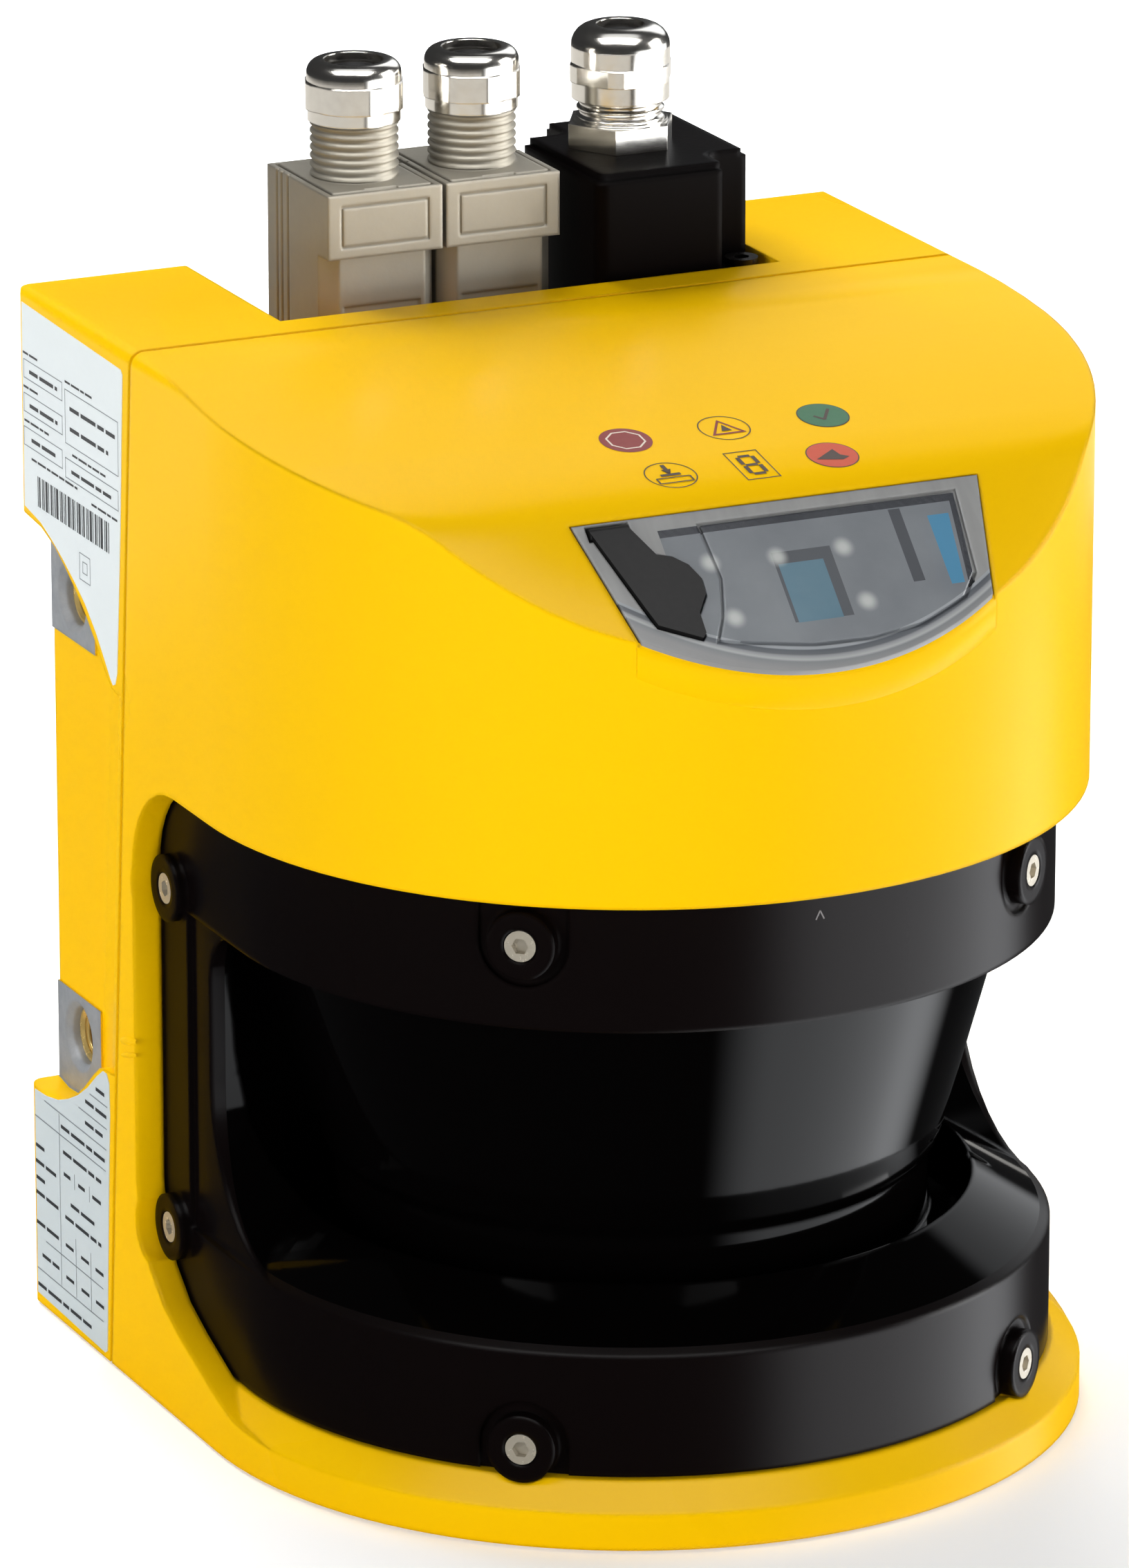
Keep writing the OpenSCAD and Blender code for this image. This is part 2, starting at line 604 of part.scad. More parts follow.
seg_c = [0.4, -17.6];
lamps = [[-14.4, -10.2], [-2.6, -8.6], [9.2, -10.6], [-14, -21.2], [9.6, -21]];
module display_bezel() {
  color(grey) on_face() difference() {
    translate([0, 0, -4.9]) linear_extrude(1.6)
      polygon([[-16, -4.6], [31, -4.6], [28, -22.4], [24.6, -25.2], [-22, -25.2], [-16.4, -20.4],
      [-14.8, -13.8]]);
    for (p = lamps) translate([p[0], p[1], -7]) cylinder(r = 1.8, h = 5, $fn = 24);
    translate([seg_c[0] - 4.2, seg_c[1] - 6.2, -7]) cube([8.4, 12.4, 5]);
    translate([24.4, -20, -7]) cube([3.6, 13.2, 5]);
    // rebate round the field and the divider
    translate([19.4, -21, -3.8]) cube([1.2, 16, 2]);
  }
}
module display_board() {
  color(board) on_face() difference() {
    translate([0, 0, -12.2]) linear_extrude(1.6)
      polygon([[-16, -4.6], [29.5, -4.6], [27, -22], [24, -24.6], [-16, -24.6]]);
    for (p = [[-12, -6.4], [26.4, -6], [-12, -23]]) translate([p[0], p[1], -13])
      cylinder(r = 1.1, h = 4, $fn = 20);
  }
}
module status_lamps() {
  color([0.95, 0.95, 0.92]) on_face() for (p = lamps) translate([p[0], p[1], -10.6]) {
    cylinder(r = 1.9, h = 1.2, $fn = 24);
    cylinder(r = 1.55, h = 5, $fn = 24);
    translate([0, 0, 5]) sphere(r = 1.5, $fn = 24);
  }
}
module seven_segment_display() {
  color([0.85, 0.88, 0.9]) on_face() difference() {
    translate([seg_c[0] - 4, seg_c[1] - 6, -10.6]) cube([8, 12, 7]);
    translate([seg_c[0] - 3.4, seg_c[1] - 5.4, -3.9]) cube([6.8, 10.8, 1]);
  }
}
module light_bar() {
  color([0.2, 0.5, 0.8]) on_face() translate([24.6, -19.8, -10.6]) cube([3.2, 12.8, 7]);
}
module config_socket() {
  color(black) on_face() difference() {
    union() {
      translate([-24.4, -14.8, -16]) cylinder(r = 6.4, h = 9.4, $fn = 48);
      translate([-24.4, -14.8, -7]) cylinder(r = 5.2, h = 5.4, $fn = 48);
      translate([-24.4, -14.8, -12.2]) cylinder(r = 8, h = 1.6, $fn = 48);
    }
    translate([-24.4, -14.8, -10]) cylinder(r = 4, h = 12, $fn = 48);
    for (a = [45:90:315]) translate([-24.4 + 1.6 * cos(a), -14.8 + 1.6 * sin(a), -14])
      cylinder(r = 0.5, h = 8, $fn = 16);
  }
}
module config_cap() {
  color(rubber) on_face() union() {
    translate([0, 0, -1.2]) linear_extrude(2.1) cap_outline(0);
    translate([-34.2, hinge_y, -0.15]) rotate([0, 90, 0]) cylinder(r = 1.05, h = 7, $fn = 32);
    translate([-24.4, -14.8, -4.6]) cylinder(r = 3, h = 3.6, $fn = 36);
  }
}

// ---------- scanner unit ----------
module on_axis(z) { translate([0, arc_y, z]) children(); }
module motor_housing() {
  color(grey) difference() {
    union() {
      on_axis(plate_z + 2) cylinder(r = 26, h = 2.5, $fn = 64);
      on_axis(plate_z + 2) cylinder(r = 19, h = 17, $fn = 64);
    }
    on_axis(plate_z + 4.5) cylinder(r = 17.2, h = 12.4, $fn = 64);
    on_axis(plate_z + 1) cylinder(r = 3.4, h = 30, $fn = 36);
    on_axis(plate_z + 1.9) cylinder(r = 5.55, h = 2.7, $fn = 36);
    on_axis(26.9) cylinder(r = 5.55, h = 3, $fn = 36);
    for (a = [45:90:315]) on_axis(10) translate([22 * cos(a), 22 * sin(a), 0])
      cylinder(r = 1.6, h = 8, $fn = 24);
  }
}
module motor_stator() {
  color([0.7, 0.42, 0.2]) on_axis(17) difference() {
    union() {
      cylinder(r = 9.5, h = 7, $fn = 48);
      for (a = [0:60:300]) rotate([0, 0, a]) translate([8, -2.2, 0]) cube([9, 4.4, 7]);
    }
    translate([0, 0, -1]) cylinder(r = 5, h = 12, $fn = 36);
  }
}
module motor_bearings() {
  color(steel) for (z = [plate_z + 2, 27]) on_axis(z) difference() {
    cylinder(r = 5.5, h = 2.4, $fn = 36);
    translate([0, 0, -1]) cylinder(r = shaft_r + 0.03, h = 6, $fn = 36);
  }
}
module rotor_shaft() {
  color(steel) on_axis(0) union() {
    translate([0, 0, plate_z + 1.8]) cylinder(r = shaft_r, h = 27.7, $fn = 36);
    translate([0, 0, 30.2]) cylinder(r = 14, h = 2.4, $fn = 64);
    translate([0, 0, 32.6]) cylinder(r = 8, h = 2.4, $fn = 64);
  }
}
module mirror_carrier() {
  color(black) on_axis(0) difference() {
    union() {
      translate([0, 0, 36.4]) cylinder(r = mirror_r + 2, h = 2.6, $fn = 72);
      intersection() {
        translate([0, 0, 36.4]) cylinder(r = mirror_r, h = 60, $fn = 72);
        // wedge under the mirror, cut at 45 degrees
        rotate([90, 0, 0]) translate([0, 0, -30]) linear_extrude(60)
          polygon([[-40, 36.4], [scan_z - 2.95 - 36.4, 36.4], [-40, scan_z - 2.95 + 40]]);
      }
    }
    translate([0, 0, 30]) cylinder(r = 3.1, h = 10.5, $fn = 36);
  }
}
module scan_mirror() {
  color([0.85, 0.87, 0.9]) on_axis(scan_z) intersection() {
    rotate([0, 45, 0]) translate([-45, -30, -2.05]) cube([90, 60, 2]);
    translate([0, 0, -30]) cylinder(r = mirror_r, h = 60, $fn = 72);
  }
}
module encoder_disc() {
  color([0.6, 0.62, 0.64]) on_axis(35.1) difference() {
    cylinder(r = 30, h = 1.2, $fn = 96);
    translate([0, 0, -1]) cylinder(r = 3.05, h = 4, $fn = 36);
    for (a = [0:10:350]) rotate([0, 0, a]) translate([26, -0.9, -1]) cube([2.4, 1.8, 4]);
  }
}
module encoder_sensor() {
  color(black) on_axis(0) rotate([0, 0, 150]) difference() {
    translate([25, -5, plate_z]) cube([12, 10, 29.5]);
    translate([23, -6, 33.6]) cube([9.5, 12, 4.2]);
    translate([24, -6, plate_z + 2]) cube([7, 12, 15]);
  }
}
module optics_bracket() {
  color(grey) on_axis(0) difference() {
    union() {
      translate([0, 0, head_z + wall]) cylinder(r = 61, h = 3, $fn = 96);
      translate([0, 0, 93.5]) cylinder(r = lens_r + 3, h = 58, $fn = 72);
    }
    translate([0, 0, 95.5]) cylinder(r = lens_r + 0.1, h = 60, $fn = 72);
    translate([0, 0, 90]) cylinder(r = lens_r - 2, h = 8, $fn = 72);
    for (a = [0:90:270]) rotate([0, 0, a + 45]) translate([58.5, 0, head_z])
      cylinder(r = 1.6, h = 12, $fn = 20);
  }
}
module receiver_lens() {
  color(clear) on_axis(95.5) difference() {
    union() {
      cylinder(r = lens_r, h = 4, $fn = 72);
      translate([0, 0, 4]) cylinder(r1 = lens_r - 2, r2 = 12, h = 5, $fn = 72);
    }
    translate([0, 0, -1]) cylinder(r = 5.1, h = 12, $fn = 36);
  }
}
module laser_module() {
  color(steel) on_axis(0) union() {
    translate([0, 0, 95.5]) cylinder(r = 5, h = 18, $fn = 36);
    translate([0, 0, 112]) cylinder(r = 7, h = 6, $fn = 36);
    for (a = [0:120:240]) rotate([0, 0, a]) translate([0, -1, 112]) cube([lens_r, 2, 4]);
  }
}
module receiver_board() {
  color(board) on_axis(151.5) union() {
    cylinder(r = lens_r + 3, h = 1.6, $fn = 72);
    translate([-6, -6, -4]) cube([12, 12, 4]);
    translate([-14, 8, 1.6]) cube([28, 6, 4]);
  }
}

// ---------- boards ----------
module main_board() {
  color(board) difference() {
    union() {
      box([-48, board_y - 1.6, 10], [48, board_y, 118]);
      box([-20, board_y - 5.7, 20], [20, board_y - 1.6, 50]);
      box([-40, board_y - 7.7, 70], [-14, board_y - 1.6, 84]);
      box([6, board_y - 9.7, 64], [38, board_y - 1.6, 100]);
      box([-30, board_y - 4.7, 92], [-4, board_y - 1.6, 110]);
    }
    for (x = [-42, 42]) for (z = [16, 112]) translate([x, 70, z]) rotate([90, 0, 0])
      cylinder(r = 1.7, h = 20, $fn = 24);
  }
}
module board_screws() {
  color(steel) for (x = [-42, 42]) for (z = [16, 112]) translate([x, 0, z]) rotate([90, 0, 0]) {
    translate([0, 0, 1.6 - board_y]) cylinder(r = 2.8, h = 2, $fn = 24);
    translate([0, 0, -board_y - 7.5]) cylinder(r = 1.25, h = 9.2, $fn = 24);
  }
}
module io_board() {
  color(board) {
    box([-45, 40, 121], [45, 75, 122.6]);
    for (x = [left_x, middle_x]) box([x - 7, hood_y - 8, 122.6], [x + 7, hood_y + 8, 123.4]);
    box([-12, 62.2, 113], [12, 70, 121]);
  }
}

// ---------- connectors ----------
module socket_block(x0, x1, y0, y1) {
  difference() {
    union() {
      box([x0, y0, 123.4], [x1, y1, 133.4]);
      box([x0 - 1.8, y0 - 1.8, pocket_z], [x1 + 1.8, y1 + 1.8, pocket_z + 1.6]);
    }
    box([x0 + 2, y0 + 2, 126], [x1 - 2, y1 - 2, 140]);
  }
}
module left_socket() { color(black) socket_block(left_x - 7.8, left_x + 7.8, hood_y - 9.4, hood_y + 9.4); }
module middle_socket() {
  color(black) socket_block(middle_x - 7.8, middle_x + 7.8, hood_y - 9.4, hood_y + 9.4);
}
module system_socket() {
  color(black) difference() {
    socket_block(17.7, 40.3, 44.2, 73.8);
    for (p = plug_screws) translate([p[0], p[1], 120]) cylinder(r = 3.8, h = 20, $fn = 24);
  }
}

// body of a metal hood about its own middle
module metal_hood() {
  w = hood_w / 2; d = hood_d / 2;
  difference() {
    union() {
      box([-w, -d, hood_z - 11.2], [w, d, hood_z]);
      translate([0, 0, 131]) linear_extrude(hood_z - 11 - 131)
        polygon([[-w, -d + 4.6], [-w + 2.6, -d + 1.6], [w - 2.6, -d + 1.6], [w, -d + 4.6], [w, d], [-w, d]]);
    }
    // room for the wires, open below for the insert and above for the lid
    box([-w + 1.6, -d + 3.4, 130], [w - 1.6, d - 1.6, hood_z - 3]);
    box([-w + 1, -d + 1, hood_z - 2.2], [w - 1, d - 1, hood_z + 1]);
    // ribs and grooves of the side faces
    for (s = [-1, 1]) for (y = [3.8, 6.4, 8.4])
      box([s > 0 ? w - 0.5 : -w - 1, y, 130], [s > 0 ? w + 1 : -w + 0.5, y + 0.8, hood_z + 1]);
    // rebated panel of the front face
    difference() {
      box([-w + 2.4, -d - 1, hood_z - 9.4], [w - 2.4, -d + 0.25, hood_z - 2]);
      box([-w + 2.8, -d - 1, hood_z - 9], [w - 2.8, -d + 1, hood_z - 2.4]);
    }
    box([-w + 3.4, -d, 170], [w - 3.4, -d + 1.85, hood_z - 20]);
  }
}
module gland_thread(z0, z1, r) {
  n = round((z1 - z0) / 1.5);
  p = (z1 - z0) / n;
  rotate_extrude($fn = 48)
    polygon(concat([[5, z0], [r - 0.5, z0]],
    [for (i = [0:n - 1]) each [[r, z0 + p * (i + 0.3)], [r, z0 + p * (i + 0.5)],
    [r - 0.5, z0 + p * (i + 0.8)], [r - 0.5, z0 + p * (i + 1)]]], [[5, z1]]));
}
module metal_lid() {
  w = hood_w / 2 - 1.5; d = hood_d / 2 - 1.5;
  difference() {
    union() {
      box([-w, -d, hood_z - 2.2], [w, d, hood_z + 0.15]);
      gland_thread(hood_z, 219, 7.6);
    }
    translate([0, 0, hood_z - 5]) cylinder(r = 5, h = 30, $fn = 36);
    box([-3, -d - 1, hood_z - 0.5], [3, -d + 0.7, hood_z + 1]);
  }
}
module metal_insert() {
  w = hood_w / 2 - 1.8; d = hood_d / 2 - 1.8;
  union() {
    box([-w, -d + 2, 134.2], [w, d, 146]);
    box([-5.5, -7.1, 127], [5.5, 7.1, 134.2]);
    box([-4, -6, 146], [4, 6, 152]);
  }
}
// dome nut of a metal hood
module dome_nut(z0, r, h_ring, h_hex, h_top, hole) {
  difference() {
    union() {
      translate([0, 0, z0]) cylinder(r = r * 0.93, h = h_ring + 0.02, $fn = 48);
      translate([0, 0, z0 + h_ring]) intersection() {
        cylinder(r = r, h = h_hex, $fn = 48);
        cylinder(r = r * 1.045, h = h_hex, $fn = 8);
      }
      translate([0, 0, z0 + h_ring + h_hex]) rotate_extrude($fn = 48)
        polygon(concat([[0, 0], [r * 0.95, 0]],
        [for (a = [0:15:75]) [hole + 1 + (r * 0.95 - hole - 1) * cos(a), h_top * (0.35 + 0.65 * sin(a))]],
        [[hole + 1, h_top], [0, h_top]]));
    }
    translate([0, 0, z0 - 1]) cylinder(r = 7.75, h = h_ring + h_hex + 1, $fn = 48);
    translate([0, 0, z0]) cylinder(r = hole, h = 30, $fn = 36);
  }
}
module gland_seal(z0, z1, r_in, r_out, r_lip) {
  rotate_extrude($fn = 48) polygon([[r_in, z0], [r_out, z0], [r_out, z1 - 2.4], [r_lip, z1 - 2.4],
    [r_lip, z1 - 0.5], [r_lip - 0.5, z1], [r_in + 0.5, z1], [r_in, z1 - 0.5]]);
}

module at_left() { translate([left_x, hood_y, 0]) children(); }
module at_middle() { translate([middle_x, hood_y, 0]) children(); }
module left_hood() { color(zinc) at_left() metal_hood(); }
module left_lid() { color(zinc) at_left() metal_lid(); }
module left_insert() { color(black) at_left() metal_insert(); }
module left_gland_nut() { color(nickel) at_left() dome_nut(212.8, 8.6, 2.2, 4.6, 3.6, 5.1); }
module left_gland_seal() { color(rubber) at_left() gland_seal(214, 221.6, 3.4, 4.95, 4.9); }
module middle_hood() { color(zinc) at_middle() metal_hood(); }
module middle_lid() { color(zinc) at_middle() metal_lid(); }
module middle_insert() { color(black) at_middle() metal_insert(); }
module middle_gland_nut() { color(nickel) at_middle() dome_nut(212.8, 8.6, 2.2, 4.6, 3.6, 5.1); }
module middle_gland_seal() { color(rubber) at_middle() gland_seal(214, 221.6, 3.4, 4.95, 4.9); }

module rounded_post(a, b, r) {
  union() {
    box([a[0] + r, a[1], a[2]], [b[0] - r, b[1], b[2]]);
    box([a[0], a[1] + r, a[2]], [b[0], b[1] - r, b[2]]);
    for (x = [a[0] + r, b[0] - r]) for (y = [a[1] + r, b[1] - r]) translate([x, y, a[2]])
      cylinder(r = r, h = b[2] - a[2], $fn = 32);
  }
}
module system_plug_hood() {
  a = plug_box[0];
  b = plug_box[1];
  color(black) difference() {
    union() {
      rounded_post([a[0], a[1], 131], [b[0], b[1], hood_z - 1.2], 2);
      rounded_post([a[0] + 1, a[1] + 1, hood_z - 1.3], [b[0] - 1, b[1] - 1, hood_z], 2);
    }
    // corner notches for the fixing screws
    translate([0, 0, 182]) rounded_post([37, 30, 0], [60, 47.4, 40], 3);
    translate([0, 0, 182]) rounded_post([5, 69.6, 0], [22, 90, 40], 3);
    for (p = plug_screws) translate([p[0], p[1], 120]) cylinder(r = 1.8, h = 70, $fn = 24);
    // room for the wires
    box([15.9, 48.5, 140], [35.6, 68.4, hood_z - 3]);
    difference() {
      box([16.2, 42, 130], [42.8, 76, 150]);
      for (p = plug_screws) translate([p[0], p[1], 120]) cylinder(r = 3.4, h = 40, $fn = 32);
    }
    translate([plug_x, 59.6, hood_z - 6]) cylinder(r = 5, h = 10, $fn = 36);
  }
}
module system_plug_insert() {
  color(grey) difference() {
    union() {
      box([16.5, 42.4, 134.2], [41.5, 75.6, 146]);
      box([20.2, 46.7, 127], [37.8, 71.3, 134.2]);
    }
    for (p = plug_screws) translate([p[0], p[1], 120]) cylinder(r = 3.7, h = 40, $fn = 32);
  }
}
module system_plug_screws() {
  color(steel) for (p = plug_screws) translate([p[0], p[1], 0]) {
    difference() {
      translate([0, 0, 182]) cylinder(r = 2.9, h = 3.2, $fn = 36);
      translate([0, 0, 183.6]) cylinder(r = 1.5, h = 3, $fn = 6);
    }
    translate([0, 0, 125]) cylinder(r = 1.5, h = 57.1, $fn = 24);
  }
}
module at_plug() { translate([plug_x, 59.6, 0]) children(); }
module system_gland_body() {
  color(nickel) at_plug() difference() {
    union() {
      translate([0, 0, hood_z]) cylinder(r = 9.9, h = 4.4, $fn = 6);
      translate([0, 0, hood_z + 4.2]) cylinder(r = 8.2, h = 0.6, $fn = 48);
      gland_thread(hood_z + 4.4, 220, 7.6);
      translate([0, 0, hood_z - 5]) cylinder(r = 4.95, h = 6, $fn = 36);
    }
    translate([0, 0, hood_z - 6]) cylinder(r = 4.2, h = 10, $fn = 36);
    translate([0, 0, hood_z + 2]) cylinder(r = 5, h = 30, $fn = 36);
  }
}
module system_gland_nut() {
  color(nickel) at_plug() difference() {
    union() {
      translate([0, 0, 211.4]) cylinder(r = 8.5, h = 3.3, $fn = 48);
      translate([0, 0, 214.6])
        intersection() { cylinder(r = 9.1, h = 3, $fn = 48); cylinder(r = 9.8, h = 3, $fn = 6); }
      translate([0, 0, 217.5]) cylinder(r = 8.6, h = 3.1, $fn = 48);
      translate([0, 0, 220.5]) rotate_extrude($fn = 48)
        polygon(concat([[0, 0], [8.6, 0]], [for (a = [15:15:75]) [5 + 3.6 * cos(a), 3.7 * sin(a)]],
        [[5, 3.7], [0, 3.7]]));
    }
    translate([0, 0, 211]) cylinder(r = 7.75, h = 9.6, $fn = 48);
    translate([0, 0, 215]) cylinder(r = 4.1, h = 30, $fn = 36);
  }
}
module system_gland_seal() { color(rubber) at_plug() gland_seal(214, 222.8, 3, 4.95, 4); }

sensor_head_housing();
rear_housing();
thread_inserts();
housing_gasket();
housing_screws();
optics_cover();
optics_cover_seals();
optics_cover_screws();
display_window();
window_seal();
display_bezel();
display_board();
status_lamps();
seven_segment_display();
light_bar();
config_socket();
config_cap();
motor_housing();
motor_stator();
motor_bearings();
rotor_shaft();
mirror_carrier();
scan_mirror();
encoder_disc();
encoder_sensor();
optics_bracket();
receiver_lens();
receiver_board();
laser_module();
main_board();
board_screws();
io_board();
system_socket();
system_plug_hood();
system_plug_insert();
system_plug_screws();
system_gland_body();
system_gland_nut();
system_gland_seal();
left_socket();
left_hood();
left_lid();
left_insert();
left_gland_nut();
left_gland_seal();
middle_socket();
middle_hood();
middle_lid();
middle_insert();
middle_gland_nut();
middle_gland_seal();
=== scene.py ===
import json
import math

import bmesh
import bpy
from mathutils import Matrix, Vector
from mathutils.bvhtree import BVHTree

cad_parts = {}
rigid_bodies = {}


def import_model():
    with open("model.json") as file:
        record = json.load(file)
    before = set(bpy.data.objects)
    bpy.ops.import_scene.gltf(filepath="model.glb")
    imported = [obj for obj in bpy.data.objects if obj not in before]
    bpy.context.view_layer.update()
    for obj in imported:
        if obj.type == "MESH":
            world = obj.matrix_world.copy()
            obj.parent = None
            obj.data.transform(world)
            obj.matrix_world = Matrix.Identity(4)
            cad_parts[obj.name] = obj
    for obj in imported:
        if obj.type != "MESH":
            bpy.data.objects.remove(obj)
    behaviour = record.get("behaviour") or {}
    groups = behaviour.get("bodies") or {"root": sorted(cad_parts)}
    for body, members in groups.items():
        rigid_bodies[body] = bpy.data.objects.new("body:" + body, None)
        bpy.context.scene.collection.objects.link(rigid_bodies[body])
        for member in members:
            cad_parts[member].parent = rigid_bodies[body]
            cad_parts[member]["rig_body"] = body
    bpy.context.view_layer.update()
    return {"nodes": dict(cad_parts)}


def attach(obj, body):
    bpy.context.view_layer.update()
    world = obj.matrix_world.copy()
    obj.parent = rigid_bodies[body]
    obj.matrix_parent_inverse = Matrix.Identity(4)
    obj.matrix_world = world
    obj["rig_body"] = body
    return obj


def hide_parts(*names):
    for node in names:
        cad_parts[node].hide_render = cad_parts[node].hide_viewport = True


# The frame: every rigid piece of the scanner stands in its real place, front towards -Y, base on z = 0.
# All lengths are in metres.
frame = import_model()
nodes = frame["nodes"]
mm = 0.001


# ---------------------------------------------------------------------------------------------
# Studio
# A pale floor in a white room, and soft light from large panels. Gloss sees the white room overhead
# and a pale ring round the object, and between them dark cards with two bright banks.
# ---------------------------------------------------------------------------------------------
class Signal:
    """A socket inside a finish. Sums written on it add Math nodes."""

    def __init__(self, finish, socket):
        self.finish = finish
        self.socket = socket

    def calc(self, operation, *values):
        return self.finish.add("ShaderNodeMath", {"operation": operation}, dict(enumerate(values)))["Value"]

    def __add__(self, other):
        return self.calc("ADD", self, other)

    __radd__ = __add__

    def __sub__(self, other):
        return self.calc("SUBTRACT", self, other)

    def __rsub__(self, other):
        return self.calc("SUBTRACT", other, self)

    def __mul__(self, other):
        return self.calc("MULTIPLY", self, other)

    __rmul__ = __mul__

    def __truediv__(self, other):
        return self.calc("DIVIDE", self, other)

    def __rtruediv__(self, other):
        return self.calc("DIVIDE", other, self)

    def __pow__(self, other):
        return self.calc("POWER", self, other)

    def __gt__(self, other):
        return self.calc("GREATER_THAN", self, other)

    def __lt__(self, other):
        return self.calc("LESS_THAN", self, other)


class Finish:
    """A material or world under construction."""

    def __init__(self, name, owner=None):
        self.owner = owner or bpy.data.materials.new(name)
        self.owner.use_nodes = True
        self.tree = self.owner.node_tree
        self.tree.nodes.clear()

    def add(self, kind, settings=None, sockets=None):
        node = self.tree.nodes.new(kind)
        for key, value in (settings or {}).items():
            if key == "stops":
                ramp = node.color_ramp
                while len(ramp.elements) < len(value):
                    ramp.elements.new(0.5)
                for element, (place, colour) in zip(ramp.elements, value):
                    element.position = place
                    element.color = (*colour, 1.0)
            else:
                setattr(node, key, value)
        for key, value in (sockets or {}).items():
            if isinstance(value, Signal):
                self.tree.links.new(value.socket, node.inputs[key])
            else:
                node.inputs[key].default_value = value
        return {socket.name: Signal(self, socket) for socket in node.outputs if socket.enabled}

    def blend(self, factor, first, second):
        """Colour that goes from first to second with factor."""
        return self.add("ShaderNodeMix", {"data_type": "RGBA"}, {0: factor, 6: first, 7: second})["Result"]

    def largest(self, first, *others):
        """The largest of several values."""
        for other in others:
            first = first.calc("MAXIMUM", first, other)
        return first

    def between(self, value, low, high):
        """1 where value lies between low and high, else 0."""
        return (value > low) * (value < high)

    def place(self):
        """The point being shaded, in metres."""
        return self.add("ShaderNodeTexCoord")["Object"]

    def axes(self, vector):
        """The x, y and z of a vector."""
        parts = self.add("ShaderNodeSeparateXYZ", {}, {"Vector": vector})
        return parts["X"], parts["Y"], parts["Z"]

    def grain(self, point, scale, detail=2.0, roughness=0.5):
        """Noise from 0 to 1, with scale features a metre."""
        sockets = {"Vector": point, "Scale": scale, "Detail": detail, "Roughness": roughness}
        return self.add("ShaderNodeTexNoise", {}, sockets)["Fac"]

    def ramp(self, value, span, ends, kind="SMOOTHSTEP"):
        """A value that goes from one end to the other while the given value crosses span."""
        (low, high), (first, last) = span, ends
        sockets = {"Value": value, "From Min": low, "From Max": high, "To Min": first, "To Max": last}
        return self.add("ShaderNodeMapRange", {"interpolation_type": kind}, sockets)["Result"]

    def rounded(self, radius, samples=4):
        """The surface's normal with its edges broken by radius."""
        return self.add("ShaderNodeBevel", {"samples": samples}, {"Radius": radius})["Normal"]

    def relief(self, height, strength, depth, normal=None):
        """The surface's normal with a fine relief on it."""
        sockets = {"Strength": strength, "Distance": depth, "Height": height}
        if normal is not None:
            sockets["Normal"] = normal
        return self.add("ShaderNodeBump", {}, sockets)["Normal"]

    def surface(self, **sockets):
        """Closes a material with one Principled shader."""
        named = {key.replace("_", " "): value for key, value in sockets.items()}
        shader = self.add("ShaderNodeBsdfPrincipled", {}, named)["BSDF"]
        self.add("ShaderNodeOutputMaterial", {}, {"Surface": shader})
        return self.owner


view_centre = Vector((-11.238, 0.0, 109.052)) * mm
view_azimuth = math.radians(-25.005)
view_elevation = math.radians(17.667)
view_distance = 1.67736


def toward(azimuth, elevation):
    """Unit vector to the given side: azimuth is 0 in front and 90 degrees at the right."""
    level = math.cos(elevation)
    return Vector((math.sin(azimuth) * level, -math.cos(azimuth) * level, math.sin(elevation)))


back = toward(view_azimuth, view_elevation)
camera_data = bpy.data.cameras.new("camera")
camera_data.sensor_width = 36.0
camera_data.lens = 227.84
camera_data.clip_start = 0.05
camera_data.clip_end = 50.0
camera = bpy.data.objects.new("camera", camera_data)
camera.location = view_centre + back * view_distance
camera.rotation_mode = "QUATERNION"
camera.rotation_quaternion = (-back).to_track_quat("-Z", "Y")
bpy.context.scene.collection.objects.link(camera)
bpy.context.scene.camera = camera
bpy.context.scene.view_settings.view_transform = "Standard"


def mesh_object(name, vertices, faces, material, smooth=False):
    """A new piece from its corners and faces."""
    mesh = bpy.data.meshes.new(name)
    mesh.from_pydata([tuple(v) for v in vertices], [], faces)
    mesh.validate()
    mesh.materials.append(material)
    mesh.polygons.foreach_set("use_smooth", [smooth] * len(mesh.polygons))
    piece = bpy.data.objects.new(name, mesh)
    bpy.context.scene.collection.objects.link(piece)
    return piece


def background_rays(f):
    """1 for the rays that see the plain white background: the camera's, and those through clear parts."""
    ray = f.add("ShaderNodeLightPath")
    return f.largest(ray["Is Camera Ray"], ray["Is Transmission Ray"])


def pale_paper():
    """Matt paper that keeps the shadow near the object and is plain white further out."""
    f = Finish("studio paper")
    x, y, z = f.axes(f.place())
    matt = f.add("ShaderNodeBsdfDiffuse", {}, {"Color": (0.82, 0.82, 0.82, 1)})["BSDF"]
    glow = f.ramp((x * x + y * y) ** 0.5, (0.5, 1.1), (0.4, 1.0), "LINEAR")
    shine = f.add("ShaderNodeEmission", {}, {"Color": (1, 1, 1, 1), "Strength": glow})["Emission"]
    both = f.add("ShaderNodeAddShader", {}, {0: matt, 1: shine})["Shader"]
    paper = f.add("ShaderNodeMixShader", {}, {"Fac": background_rays(f), 1: matt, 2: both})["Shader"]
    f.add("ShaderNodeOutputMaterial", {}, {"Surface": paper})
    return f.owner


floor_half = 3.0
floor_drop = 0.5 * mm
floor_corners = [(x * floor_half, y * floor_half, -floor_drop) for x, y in ((-1, -1), (1, -1), (1, 1), (-1, 1))]
floor = mesh_object("studio_floor", floor_corners, [(0, 1, 2, 3)], pale_paper())
floor.visible_glossy = False


